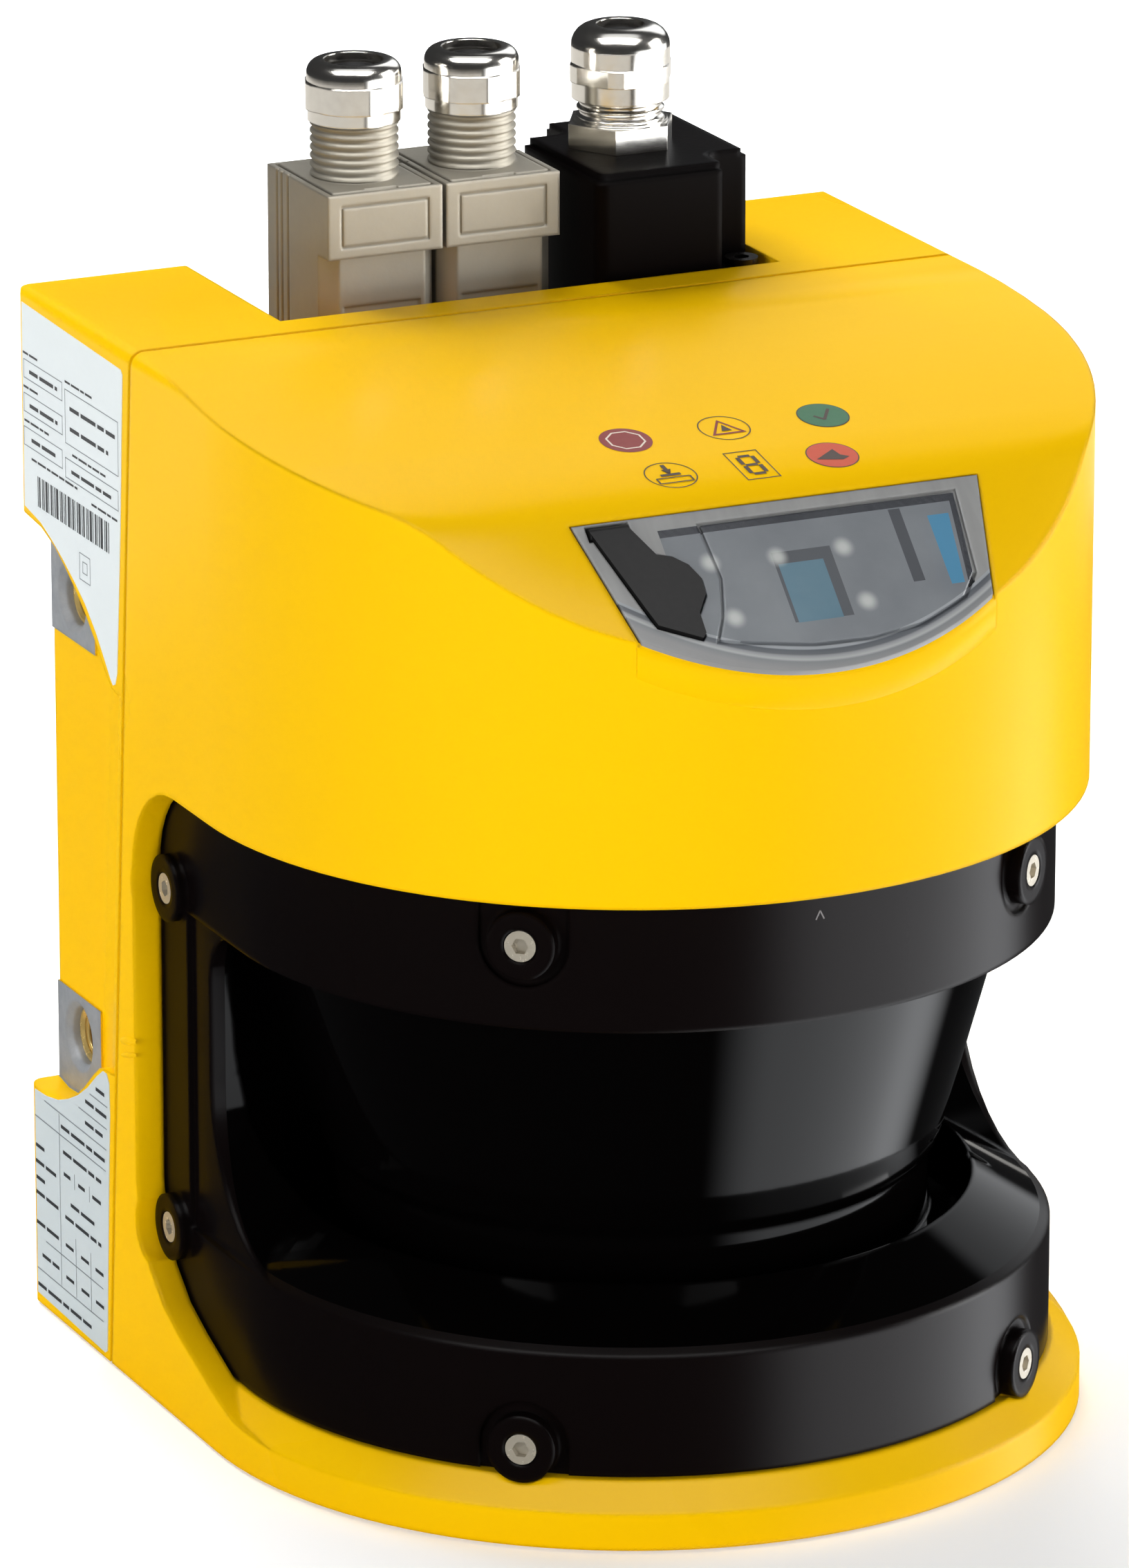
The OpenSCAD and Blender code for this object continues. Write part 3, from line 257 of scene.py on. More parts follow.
def mirror_card():
    """A pale ring on the floor, so far out that only the tall metal pieces mirror it.

    It is open to the front right, which leaves a dark line down each gland.
    """
    inner, outer, lift = 0.57, 1.15, 0.5 * mm
    start, steps = 55, 60
    vertices = []
    for step in range(steps + 1):
        turn = math.radians(start + (360 - start) * step / steps)
        vertices += [(r * math.sin(turn), -r * math.cos(turn), lift) for r in (inner, outer)]
    faces = [(2 * i, 2 * i + 1, 2 * i + 3, 2 * i + 2) for i in range(steps)]
    f = Finish("mirror card")
    glow = f.add("ShaderNodeEmission", {}, {"Color": (1, 0.97, 0.92, 1), "Strength": 0.95})["Emission"]
    f.add("ShaderNodeOutputMaterial", {}, {"Surface": glow})
    ring = mesh_object("mirror_card", vertices, faces, f.owner)
    ring.visible_camera = False
    ring.visible_diffuse = False
    ring.visible_transmission = False
    ring.visible_shadow = False
    return ring


mirror_card()

world = bpy.data.worlds.new("room")
bpy.context.scene.world = world
room = Finish("room", world)
right, rear, up = room.axes(room.add("ShaderNodeTexCoord")["Generated"])


def facing(direction):
    """How squarely the ray goes in a direction: 1 is straight along it."""
    return right * direction.x + rear * direction.y + up * direction.z


# the low bank fills a wide angle at the front right, everywhere below the horizon
level_share = (right * right + rear * rear) ** 0.5
low_bank = room.ramp(facing(toward(math.radians(58), 0)) / level_share, (0.6, 0.9), (0.0, 7.2)) * (up < 0)
# the high bank is a small round one at the back right
high_bank = room.ramp(facing(toward(math.radians(133), math.radians(24))), (0.94, 0.965), (0.0, 1.6))
overhead = room.ramp(up, (0.87, 0.93), (0.0, 0.95))
room_level = 0.13
card_level = 0.04
glossy = room.add("ShaderNodeLightPath")["Is Glossy Ray"]
strength = room_level + (low_bank + high_bank + overhead - (room_level - card_level)) * glossy
dim = room.add("ShaderNodeBackground", {}, {"Color": (0.95, 0.97, 1.0, 1), "Strength": strength})["Background"]
white = room.add("ShaderNodeBackground", {}, {"Color": (1, 1, 1, 1), "Strength": 1.0})["Background"]
walls = room.add("ShaderNodeMixShader", {}, {"Fac": background_rays(room), 1: dim, 2: white})["Shader"]
room.add("ShaderNodeOutputWorld", {}, {"Surface": walls})


def light_panel(name, place, aim, width, height, power, lights=True, mirrored=True):
    """A soft box that points from place to aim; it lights matt surfaces, shows in gloss, or both."""
    lamp = bpy.data.lights.new(name, "AREA")
    lamp.shape = "RECTANGLE"
    lamp.size = width
    lamp.size_y = height
    lamp.energy = power
    panel = bpy.data.objects.new(name, lamp)
    panel.visible_camera = False
    panel.visible_diffuse = lights
    panel.visible_glossy = mirrored
    panel.location = place
    panel.rotation_mode = "QUATERNION"
    panel.rotation_quaternion = (Vector(aim) - Vector(place)).to_track_quat("-Z", "Y")
    bpy.context.scene.collection.objects.link(panel)


body_middle = (0, 0, 0.1)
body_top = (0, 0, 0.15)
light_panel("left_fill", (-1.7, -0.7, 0.25), body_middle, 1.2, 1.2, 25, mirrored=False)
light_panel("front_fill", (0.5, -1.9, 0.25), body_middle, 1.2, 0.9, 23, mirrored=False)
light_panel("right_fill", (1.7, -0.1, 0.35), body_middle, 0.9, 1.5, 22, mirrored=False)
light_panel("right_strip", (1.75, -0.55, 0.45), body_middle, 0.9, 1.5, 75, lights=False)
light_panel("top_fill", (0.0, 1.3, 1.2), body_top, 1.4, 1.0, 42, mirrored=False)
light_panel("top_strip", (-0.3, -0.5, 1.7), body_top, 2.2, 0.9, 60, lights=False)


# ---------------------------------------------------------------------------------------------
# Castings
# The head with its base plate and the rear housing are aluminium die castings with a thick yellow
# powder coat. The side pads of the rear housing are machined bare after coating.
# ---------------------------------------------------------------------------------------------
def tidy_copy(node, name, crease):
    """A smooth-shaded copy of a CAD piece, sharp only at edges steeper than crease degrees."""
    mesh = nodes[node].data.copy()
    mesh.name = name
    work = bmesh.new()
    work.from_mesh(mesh)
    bmesh.ops.remove_doubles(work, verts=work.verts, dist=0.002 * mm)
    bmesh.ops.dissolve_degenerate(work, edges=work.edges, dist=0.001 * mm)
    for face in work.faces:
        face.smooth = True
    limit = math.radians(crease)
    for edge in work.edges:
        edge.smooth = len(edge.link_faces) == 2 and edge.calc_face_angle(0.0) < limit
    work.to_mesh(mesh)
    work.free()
    if mesh.attributes.get("custom_normal"):
        mesh.attributes.remove(mesh.attributes["custom_normal"])
    mesh.materials.clear()
    piece = bpy.data.objects.new(name, mesh)
    bpy.context.scene.collection.objects.link(piece)
    return piece


def stand_in(node, material, crease=32.0):
    """Shows a tidy copy in place of a CAD piece."""
    piece = tidy_copy(node, node + "_shell", crease)
    piece.data.materials.append(material)
    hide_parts(node)
    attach(piece, nodes[node]["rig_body"])
    return piece


yellow = (0.98, 0.57, 0.0, 1)
deep_yellow = (0.95, 0.51, 0.0, 1)
coat_gloss = 0.05
pad_face = 71.8 * mm
pad_front = 60.5 * mm
thread_y = 70.5 * mm
thread_levels = (50.6 * mm, 130.6 * mm)
thread_mouth = 6.6 * mm
bore_end = 50 * mm


def powder_coat(name, round_edge):
    """An open finish, the point, and the coat's colour, roughness and normal there."""
    f = Finish(name)
    point = f.place()
    peel = f.grain(point, 420.0, 3.0)
    cloud = f.grain(point, 18.0, 2.0)
    normal = f.relief(peel, 0.12, 0.15 * mm, f.rounded(round_edge))
    return f, point, f.blend(cloud * 0.12, yellow, deep_yellow), 0.24 + 0.1 * cloud, normal


def coat_only():
    """Plain powder coat with a faint orange peel."""
    f, point, tone, rough, normal = powder_coat("yellow powder coat", 1.2 * mm)
    return f.surface(Base_Color=tone, Roughness=rough, Normal=normal, Specular_IOR_Level=coat_gloss)


def coat_with_pads():
    """Powder coat with the bare machined pads and thread mouths of the two sides."""
    f, point, tone, rough, normal = powder_coat("yellow powder coat, bare pads", 1.0 * mm)
    x, y, z = f.axes(point)
    out = x.calc("ABSOLUTE", x)
    on_pad = (out > pad_face - 0.15 * mm) * (out < pad_face + 0.2 * mm) * (y > pad_front)
    low, high = thread_levels
    near_low = f.between(z, low - 12 * mm, low + 8.2 * mm)
    near_high = f.between(z, high - 8.5 * mm, high + 13 * mm)
    bare = on_pad * (near_low + near_high)
    for level in thread_levels:
        in_mouth = (y - thread_y) ** 2 + (z - level) ** 2 < thread_mouth ** 2
        bare = f.largest(bare, in_mouth * f.between(out, bore_end, pad_face))
    stain = f.grain(point, 260.0, 5.0, 0.7)
    metal = f.blend(stain, (0.24, 0.26, 0.29, 1), (0.5, 0.52, 0.54, 1))
    return f.surface(Base_Color=f.blend(bare, tone, metal), Roughness=rough + bare * (0.12 + 0.2 * stain),
                     Metallic=bare * 0.35, Normal=normal, Specular_IOR_Level=coat_gloss)


yellow_coat = coat_only()
head = stand_in("sensor_head_housing", yellow_coat)
stand_in("rear_housing", coat_with_pads())


# ---------------------------------------------------------------------------------------------
# Side labels
# Two pale foil labels lie on the raised fields of the left side; the lower one is drawn darker as painted
# shade. Their print is generic: empty boxes and rules, plain strips in place of words, a row of plain bars.
# ---------------------------------------------------------------------------------------------
side_face = -77.5 * mm
foil_rise = 0.12 * mm
ink_rise = 0.03 * mm


def side_plate(name, outline, material):
    """A thin plate on the left side from an outline of (y, z) in mm."""
    work = bmesh.new()
    ring = [work.verts.new((side_face, y * mm, z * mm)) for y, z in outline]
    face = work.faces.new(ring)
    lifted = bmesh.ops.extrude_face_region(work, geom=[face])["geom"]
    moved = [v for v in lifted if isinstance(v, bmesh.types.BMVert)]
    bmesh.ops.translate(work, verts=moved, vec=(-foil_rise, 0, 0))
    bmesh.ops.recalc_face_normals(work, faces=work.faces)
    mesh = bpy.data.meshes.new(name)
    work.to_mesh(mesh)
    work.free()
    mesh.materials.append(material)
    piece = bpy.data.objects.new(name, mesh)
    bpy.context.scene.collection.objects.link(piece)
    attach(piece, "housing")


def printed(name, colour, rough=0.4, spread=0.03, scale=900.0):
    """Flat ink, foil or paint with a faint mottle."""
    f = Finish(name)
    point = f.place()
    speck = f.grain(point, scale, 2.0)
    light = tuple(min(1.0, c + spread) for c in colour[:3]) + (1,)
    return f.surface(Base_Color=f.blend(speck, colour, light), Roughness=rough + 0.08 * speck)


def side_print(name, strips, material):
    """Flat strips on a label: (y, z, width, height) of each lower front corner, in mm."""
    x = side_face - foil_rise - ink_rise
    vertices, faces = [], []
    for y, z, width, height in strips:
        faces.append([len(vertices) + i for i in range(4)])
        corners = ((y, z), (y, z + height), (y + width, z + height), (y + width, z))
        vertices += [(x, a * mm, b * mm) for a, b in corners]
    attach(mesh_object(name, vertices, faces, material), "housing")


def box_rules(y, z, width, height, line=0.16):
    """The four rules of an empty box."""
    return [(y, z, width, line), (y, z + height - line, width, line),
            (y, z, line, height), (y + width - line, z, line, height)]


def word_strips(y, z, length, height):
    """A row of plain strips as long as words, from y + length forward to y."""
    strips = []
    widths = (2.6, 4.1, 1.8, 3.3)
    shortest = 0.8
    end = y + length
    while end - y > shortest:
        width = min(widths[len(strips) % len(widths)] * height, end - y)
        strips.append((end - width, z, width, height * 0.45))
        end -= width + 0.5 * height
    return strips


label_foil = printed("label foil", (0.78, 0.84, 0.85, 1), 0.42, 0.02, 500.0)
# painted shade: the lower label is the same foil as the upper one, drawn darker for the weaker light low on the
# side
shaded_low_foil = printed("label foil, lower, painted shade", (0.6, 0.67, 0.69, 1), 0.42, 0.02, 500.0)
label_ink = printed("label ink", (0.03, 0.035, 0.04, 1))
thin_ink = printed("label ink, thin rules", (0.2, 0.23, 0.25, 1))
side_plate("upper_label", [
    (77.2, 182.2), (33.2, 181.0), (32.5, 180.3), (34.2, 153.9), (35.3, 141.0), (36.6, 127.0),
    (37.5, 124.8), (38.5, 124.4), (39.6, 125.3), (42.4, 128.3), (45.8, 131.8), (50.4, 135.5),
    (55.0, 138.2), (60.0, 140.8), (65.0, 143.0), (70.0, 144.8), (77.2, 146.0)], label_foil)
side_plate("lower_label", [
    (77.2, 1.8), (46.4, 1.0), (45.4, 1.6), (43.6, 33.0), (42.7, 46.0), (42.9, 51.6), (44.0, 53.0), (45.6, 53.0),
    (48.5, 51.1), (52.6, 47.8), (57.0, 45.0), (61.6, 42.8), (66.6, 41.0), (72.0, 40.0), (77.2, 39.7)], shaded_low_foil)
rule_width = 0.2
rules = []
for y, z, width, height in ((59.2, 169.0, 17.4, 3.4), (59.3, 163.0, 17.4, 3.4), (59.5, 157.0, 17.4, 3.4),
                            (34.6, 162.0, 23.5, 9.6), (34.8, 155.9, 23.5, 3.6),
                            (47.8, 139.4, 4.8, 4.8), (49.1, 140.8, 2.1, 2.1)):
    rules += box_rules(y, z, width, height)
for y, z, width in ((43.8, 46.8, 7.9), (44.1, 42.7, 12.8), (44.5, 38.8, 28.3), (44.8, 34.8, 32.4),
                    (46.7, 12.5, 26.3), (46.9, 6.4, 30.3)):
    rules.append((y, z, width, rule_width))
for y, z, height in ((65.9, 6.7, 32.0), (59.2, 26.7, 2.9), (52.4, 26.7, 2.9),
                     (59.0, 6.7, 11.0), (52.2, 6.4, 11.0)):
    rules.append((y, z, rule_width, height))
side_print("label_rules", rules, thin_ink)
words = []
for y, z, length, height in (
        (69.2, 173.3, 7.6, 0.9), (69.2, 167.3, 7.6, 0.9), (65.6, 161.3, 11.0, 0.9), (45.5, 172.7, 12.5, 0.9),
        (40.1, 160.4, 15.0, 0.9), (61.5, 170.2, 12.6, 1.5), (61.5, 164.2, 12.6, 1.5), (61.5, 158.2, 12.0, 1.5),
        (36.0, 168.2, 20.0, 1.6), (39.0, 164.6, 17.0, 1.6), (38.0, 157.2, 17.6, 1.4),
        (53.0, 155.0, 20.6, 0.9), (35.4, 153.9, 11.4, 0.9), (43.9, 48.4, 5.0, 1.5), (44.2, 44.6, 9.6, 1.5),
        (46.0, 40.6, 8.0, 1.5), (45.2, 36.3, 20.0, 1.5), (47.0, 31.8, 17.4, 1.5), (61.2, 27.8, 3.0, 1.5),
        (54.6, 27.8, 3.0, 1.5), (46.8, 27.8, 4.4, 1.5), (49.8, 23.0, 11.4, 1.5), (47.4, 20.0, 16.4, 1.5),
        (73.0, 29.2, 4.0, 1.5), (67.8, 26.2, 9.4, 1.5), (73.0, 23.2, 4.0, 1.5), (67.0, 20.4, 10.2, 1.5),
        (67.0, 14.8, 10.2, 1.5), (67.0, 9.2, 7.8, 1.5), (52.0, 3.2, 25.0, 1.5), (60.2, 14.8, 3.6, 1.4),
        (53.2, 14.8, 3.6, 1.4), (45.6, 14.8, 4.6, 1.4), (60.2, 8.8, 3.6, 1.4), (53.2, 8.8, 3.6, 1.4),
        (45.6, 8.8, 4.6, 1.4)):
    words += word_strips(y, z, length, height)
side_print("label_words", words, label_ink)
bar_widths = (0.3, 0.62, 0.3, 0.95, 0.45)
bar_gaps = (0.34, 0.5, 0.3, 0.72)
bar_foot, bar_height = 147.4, 5.4
bars = []
bar_y, last_bar_y = 39.2, 71.0
while bar_y < last_bar_y:
    width = bar_widths[len(bars) % len(bar_widths)]
    bars.append((bar_y, bar_foot, width, bar_height))
    bar_y += width + bar_gaps[len(bars) % len(bar_gaps)]
side_print("label_bars", bars, label_ink)


# ---------------------------------------------------------------------------------------------
# Signs on the slope
# Six small screen-printed signs, one for each lamp and for the figure below them. They follow the
# gentle curve of the sloping top and carry plain shapes only, no words.
# ---------------------------------------------------------------------------------------------
top_skin = BVHTree.FromObject(head, bpy.context.evaluated_depsgraph_get())


def on_top(x, y, lift):
    """The point of the sloping top at (x, y) mm, raised by lift mm."""
    well_above = 300
    point, normal, index, distance = top_skin.ray_cast(Vector((x, y, well_above)) * mm, Vector((0, 0, -1)))
    return point + normal * lift * mm


class Sign:
    """A sign with its middle at (x, y) mm; later shapes lie above earlier ones."""

    def __init__(self, name, x, y):
        self.name = name
        self.x = x
        self.y = y
        self.level = 0.05

    def shape(self, outline, material, hole=None):
        """A filled outline, or the band between two outlines of as many points."""
        rings = [outline, hole] if hole else [[(a * k, b * k) for a, b in outline] for k in (1.0, 0.66, 0.33)]
        count = len(outline)
        vertices = [on_top(self.x + a, self.y + b, self.level) for ring in rings for a, b in ring]
        faces = []
        for r in range(len(rings) - 1):
            for i in range(count):
                k = (i + 1) % count
                faces.append((r * count + i, r * count + k, (r + 1) * count + k, (r + 1) * count + i))
        if not hole:
            faces.append([(len(rings) - 1) * count + i for i in range(count)])
        self.level += 0.02
        piece = mesh_object(f"{self.name}_{round(self.level * 100)}", vertices, faces, material)
        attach(piece, "housing")

    def stroke(self, start, end, width, material):
        """A straight bar from start to end."""
        along = (Vector(end) - Vector(start)).normalized() * width / 2
        side = Vector((-along.y, along.x))
        middle = (Vector(start) + Vector(end)) / 2
        corners = [Vector(start) - side, Vector(end) - side, Vector(end) + side, Vector(start) + side]
        here = Sign(self.name + f"_{round(100 * self.level)}b", self.x + middle.x, self.y + middle.y)
        here.level = self.level
        here.shape([tuple(c - middle) for c in corners], material)
        self.level += 0.005


def round_outline(radius, count=48, turn=0.0):
    """The corners of a regular outline, as good as round by default."""
    angles = [turn + 2 * math.pi * i / count for i in range(count)]
    return [(radius * math.cos(angle), radius * math.sin(angle)) for angle in angles]


print_brown = printed("sign ink, dark brown", (0.045, 0.02, 0.01, 1), 0.35)
print_red = printed("sign ink, dark red", (0.22, 0.012, 0.008, 1), 0.35)
print_green = printed("sign ink, green", (0.02, 0.13, 0.05, 1), 0.35)
print_orange = printed("sign ink, orange", (0.55, 0.05, 0.003, 1), 0.35)
print_pale = printed("sign ink, pale", (0.75, 0.66, 0.55, 1), 0.35)
ring_r = 4.45
thin_ring = ring_r - 0.22
inner_disc = ring_r - 0.2
upper_row = -32.0
lower_row = -45.6

stop = Sign("octagon_sign", -15.1, upper_row)
stop.shape(round_outline(ring_r), print_red)
stop.shape(round_outline(3.4, 8, math.pi / 8), print_pale, round_outline(3.05, 8, math.pi / 8))

soiled = Sign("triangle_sign", 2.8, upper_row)
soiled.shape(round_outline(ring_r), print_brown, round_outline(thin_ring))
triangle = [(0, 3.3), (-3.1, -2.0), (3.1, -2.0)]
soiled.shape([(a, b - 0.3) for a, b in triangle], print_red, [(a * 0.76, b * 0.76 - 0.3) for a, b in triangle])
soiled.shape([(a * 0.3, b * 0.42 - 0.3) for a, b in triangle], print_brown)

free = Sign("check_sign", 21.0, upper_row)
free.shape(round_outline(ring_r), print_brown)
free.shape(round_outline(inner_disc), print_green)
free.stroke((-1.7, 0.1), (-0.4, -1.6), 0.55, print_brown)
free.stroke((-0.5, -1.6), (1.9, 2.0), 0.55, print_brown)

restart = Sign("button_sign", -13.4, lower_row)
restart.shape(round_outline(ring_r), print_brown, round_outline(thin_ring))
restart.shape([(-0.85, 2.0), (0.85, 2.0), (0, 0.9)], print_brown)
restart.stroke((0, 3.6), (0, 1.9), 0.75, print_brown)
restart.stroke((-1.8, 0.1), (1.8, 0.1), 0.75, print_brown)
box_half, box_top, box_foot = 3.0, -0.9, -2.6
for start, end in (((-box_half, box_top), (box_half, box_top)), ((-box_half, box_foot), (box_half, box_foot)),
                   ((-box_half, box_top), (-box_half, box_foot)), ((box_half, box_top), (box_half, box_foot))):
    restart.stroke(start, end, 0.3, print_brown)


def figure_bars(width, height):
    """Start and end of the seven bars of a figure."""
    w, h = width / 2, height / 2
    return [((-w, h), (w, h)), ((-w, 0), (w, 0)), ((-w, -h), (w, -h)),
            ((-w, 0), (-w, h)), ((w, 0), (w, h)), ((-w, -h), (-w, 0)), ((w, -h), (w, 0))]


figure = Sign("figure_sign", 1.3, lower_row)
frame_outline = [(-3.05, -4.9), (3.05, -4.9), (3.05, 4.9), (-3.05, 4.9)]
figure.shape(frame_outline, print_brown, [(a * 0.93, b * 0.95) for a, b in frame_outline])
for start, end in figure_bars(2.7, 6.2):
    gap = (Vector(end) - Vector(start)).normalized() * 0.3
    figure.stroke(tuple(Vector(start) + gap), tuple(Vector(end) - gap), 0.75, print_brown)

breach = Sign("field_sign", 15.9, lower_row - 0.2)
breach.shape(round_outline(ring_r), print_brown)
breach.shape(round_outline(inner_disc), print_orange)
breach.shape([(-3.3, -0.9), (0.9, 1.9), (1.3, -0.2), (2.6, -1.2), (1.0, -2.0)], print_brown)


# ---------------------------------------------------------------------------------------------
# Seam gasket, housing screws and thread inserts
# A thin black rubber cord lies in the slanted seam; the castings are drawn together by screws from
# behind. The fixing threads are yellow passivated steel inserts.
# ---------------------------------------------------------------------------------------------
def rubber(name, tone=0.012, rough=0.55):
    """Dull black rubber of one brightness."""
    f = Finish(name)
    point = f.place()
    skin = f.grain(point, 900.0, 3.0)
    shade = f.blend(skin, (tone, tone, tone, 1), (tone * 1.8, tone * 1.7, tone * 1.7, 1))
    return f.surface(Base_Color=shade, Roughness=rough, Normal=f.relief(skin, 0.15, 0.1 * mm),
                     Specular_IOR_Level=0.12)


def darker(colour, share):
    """The colour with each part cut down to a share of itself."""
    return tuple(part * share for part in colour[:3]) + (1,)


def turned_steel(name, colour, rough=0.28, metallic=1.0):
    """Bright steel with fine turning marks."""
    f = Finish(name)
    point = f.place()
    marks = f.grain(point, 700.0, 4.0, 0.6)
    shade = f.blend(marks, darker(colour, 0.8), colour)
    return f.surface(Base_Color=shade, Metallic=metallic, Roughness=rough + 0.12 * marks,
                     Normal=f.relief(marks, 0.12, 0.05 * mm))


rubber_skin = rubber("black rubber")
bright_steel = turned_steel("screw steel", (0.78, 0.74, 0.66, 1))
insert_metal = turned_steel("yellow passivated steel", (0.8, 0.58, 0.2, 1), 0.2, 0.5)
stand_in("thread_inserts", insert_metal)
stand_in("housing_gasket", rubber("gasket rubber", 0.02))
stand_in("housing_screws", bright_steel)


# ---------------------------------------------------------------------------------------------
# Optics cover
# One moulding in black plastic that lets infrared through. The window cone and its groove are
# polished, the two outer bands and the bosses have a finer satin skin.
# ---------------------------------------------------------------------------------------------
arc_middle = -2.5 * mm
polished_reach = 70.2 * mm
upper_band_foot = 88.6 * mm


def cover_gloss():
    """Black that is satin on the bands and polished inside them."""
    f = Finish("black optics plastic")
    point = f.place()
    x, y, z = f.axes(point)
    reach = (x ** 2 + (y - arc_middle) ** 2) ** 0.5
    satin = f.largest(reach > polished_reach, z > upper_band_foot)
    skin = f.grain(point, 1500.0, 3.0, 0.6)
    normal = f.relief(skin * satin, 0.1, 0.05 * mm, f.rounded(1.2 * mm, 6))
    shade = f.blend(satin, (0.001, 0.0008, 0.0008, 1), (0.0035, 0.0022, 0.0022, 1))
    return f.surface(Base_Color=shade, Roughness=0.06 + satin * 0.2, Normal=normal, Specular_IOR_Level=0.06)


stand_in("optics_cover", cover_gloss(), 12.0)
stand_in("optics_cover_seals", rubber_skin)
stand_in("optics_cover_screws", turned_steel("screw steel, warm", (0.6, 0.55, 0.45, 1), 0.2, 0.45))


# ---------------------------------------------------------------------------------------------
# Display
# A clear window with a thick moulded edge lies in the sloping face; behind it a grey bezel carries
# five lamps, a seven-segment figure and a blue light bar. A rubber cap covers the configuration port.
# ---------------------------------------------------------------------------------------------
face_slope = math.radians(44.5)
lip = Vector((0.0, -56.2, 173.05)) * mm
lamp_spots = ((-15.2, -10.9), (-3.3, -11.4), (8.7, -11.2), (-14.3, -21.4), (9.5, -21.5))


def clear_window():
    """Clear moulding, frosted from below over the viewing field, with painted shade round the figure module;
    face places u across and v up in mm.
    """
    f = Finish("clear window")
    point = f.place()
    x, y, z = f.axes(point)
    u = x / mm
    v = ((y - lip.y) * math.cos(face_slope) + (z - lip.z) * math.sin(face_slope)) / mm
    below = (v * -1) - 28.6 + 0.0105 * ((u - 2) ** 2)
    rim_width = 5
    rim_tones = [
        (0.0, (0.36, 0.38, 0.4)), (0.1, (0.34, 0.36, 0.38)), (0.14, (0.1, 0.11, 0.125)),
        (0.3, (0.13, 0.14, 0.155)), (0.36, (0.3, 0.31, 0.32)), (0.5, (0.45, 0.46, 0.46)),
        (0.58, (0.24, 0.25, 0.26)), (0.85, (0.3, 0.3, 0.3))]
    rim = f.add("ShaderNodeValToRGB", {"stops": rim_tones}, {"Fac": below / rim_width})["Color"]
    cloud = f.grain(point, 110.0, 3.0)
    streak = f.add("ShaderNodeMapping", {}, {"Vector": point, "Scale": (1.0, 0.2, 0.2)})["Vector"]
    soft_grey = f.blend(f.grain(streak, 420.0, 2.0), (0.27, 0.272, 0.27, 1), (0.38, 0.38, 0.37, 1))
    frost = f.blend(cloud, (0.2, 0.215, 0.235, 1), (0.29, 0.31, 0.33, 1))

    def patch(left, right, foot, top):
        return f.between(u, left, right) * f.between(v, foot, top)

    left_edge, top_edge = -22.3, -3.9
    right_edge = 31.4 + 0.12 * (v + 4)
    field = (v < top_edge) * (below < 0) * f.between(u, left_edge, right_edge)
    top_line = f.between(v, top_edge - 1.4, top_edge)
    side_line = u > right_edge - 1.1
    divider = patch(18.8, 20.9, -19.2, -5.5)
    # painted shade: the recess round the figure module is darkened in the colour, standing in for its shadow
    painted_well_shade = patch(-4.2, 6.4, -23.7, -10.6)
    module = patch(-3.6, 4.5, -23.8, -12.8)
    bar = patch(25.3, 29.2 + 0.12 * (v + 7.5), -20.5, -7.5)
    dark = f.largest(top_line, side_line, divider * 0.85)
    inside = f.blend(dark * 0.85, frost, (0.035, 0.037, 0.045, 1))
    inside = f.blend(painted_well_shade * (1 - module) * 0.75, inside, (0.07, 0.075, 0.085, 1))
    inside = f.blend(module, inside, f.blend(cloud, (0.1, 0.2, 0.27, 1), (0.18, 0.3, 0.37, 1)))
    inside = f.blend(bar, inside, (0.1, 0.31, 0.5, 1))
    for spot_u, spot_v in lamp_spots:
        reach = ((u - spot_u) ** 2 + (v - spot_v) ** 2) ** 0.5
        inside = f.blend(f.ramp(reach, (0.3, 2.3), (0.75, 0.0)), inside, (0.75, 0.77, 0.74, 1))
    border = f.blend(below > 0, soft_grey, rim)
    return f.surface(Base_Color=f.blend(field, border, inside), Roughness=0.1 + 0.08 * cloud,
                     Normal=f.rounded(0.5 * mm), Alpha=0.94 - 0.1 * field, Specular_IOR_Level=0.3)


stand_in("display_window", clear_window(), 25.0)


def window_lip():
    """The casting's lip before the window's front edge: (radius, depth under the face) across, in mm."""
    section = ((77.2, 4.6), (77.53, 4.2), (77.53, 0.5), (77.3, 0.3), (77.0, 0.3))
    half_width, steps = 32.4 * mm, 40
    vertices, faces = [], []
    for i in range(steps + 1):
        x = half_width * (2 * i / steps - 1)
        for radius, depth in section:
            y = arc_middle - math.sqrt((radius * mm) ** 2 - x ** 2)
            rise = ((y - lip.y) * math.sin(face_slope) - depth * mm) / math.cos(face_slope)
            vertices.append((x, y, lip.z + rise))
    row = len(section)
    for i in range(steps):
        for a in range(row * i, row * i + row - 1):
            faces.append((a, a + row, a + row + 1, a + 1))
    return mesh_object("window_lip", vertices, faces, yellow_coat, smooth=True)


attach(window_lip(), "housing")
stand_in("window_seal", rubber_skin)


def satin_plastic(name, colour, rough=0.4, round_edge=0.5 * mm, shine=0.4):
    """Moulded plastic with a fine skin and softened edges."""
    f = Finish(name)
    point = f.place()
    skin = f.grain(point, 1100.0, 3.0)
    normal = f.relief(skin, 0.2, 0.06 * mm, f.rounded(round_edge))
    shade = f.blend(skin, darker(colour, 0.85), colour)
    return f.surface(Base_Color=shade, Roughness=rough + 0.08 * skin, Normal=normal, Specular_IOR_Level=shine)


green_board = satin_plastic("solder mask", (0.02, 0.2, 0.1, 1), 0.35)
stand_in("display_bezel", satin_plastic("bezel grey", (0.2, 0.22, 0.235, 1), 0.5))
stand_in("display_board", green_board)
stand_in("status_lamps", satin_plastic("lamp plastic", (0.9, 0.9, 0.86, 1), 0.3))
stand_in("seven_segment_display", satin_plastic("figure plastic", (0.22, 0.29, 0.35, 1), 0.4))
stand_in("light_bar", satin_plastic("blue lamp plastic", (0.06, 0.3, 0.62, 1), 0.35))
stand_in("config_socket", satin_plastic("socket black", (0.02, 0.02, 0.02, 1), 0.4))
stand_in("config_cap", rubber("cap rubber", 0.007, 0.38))


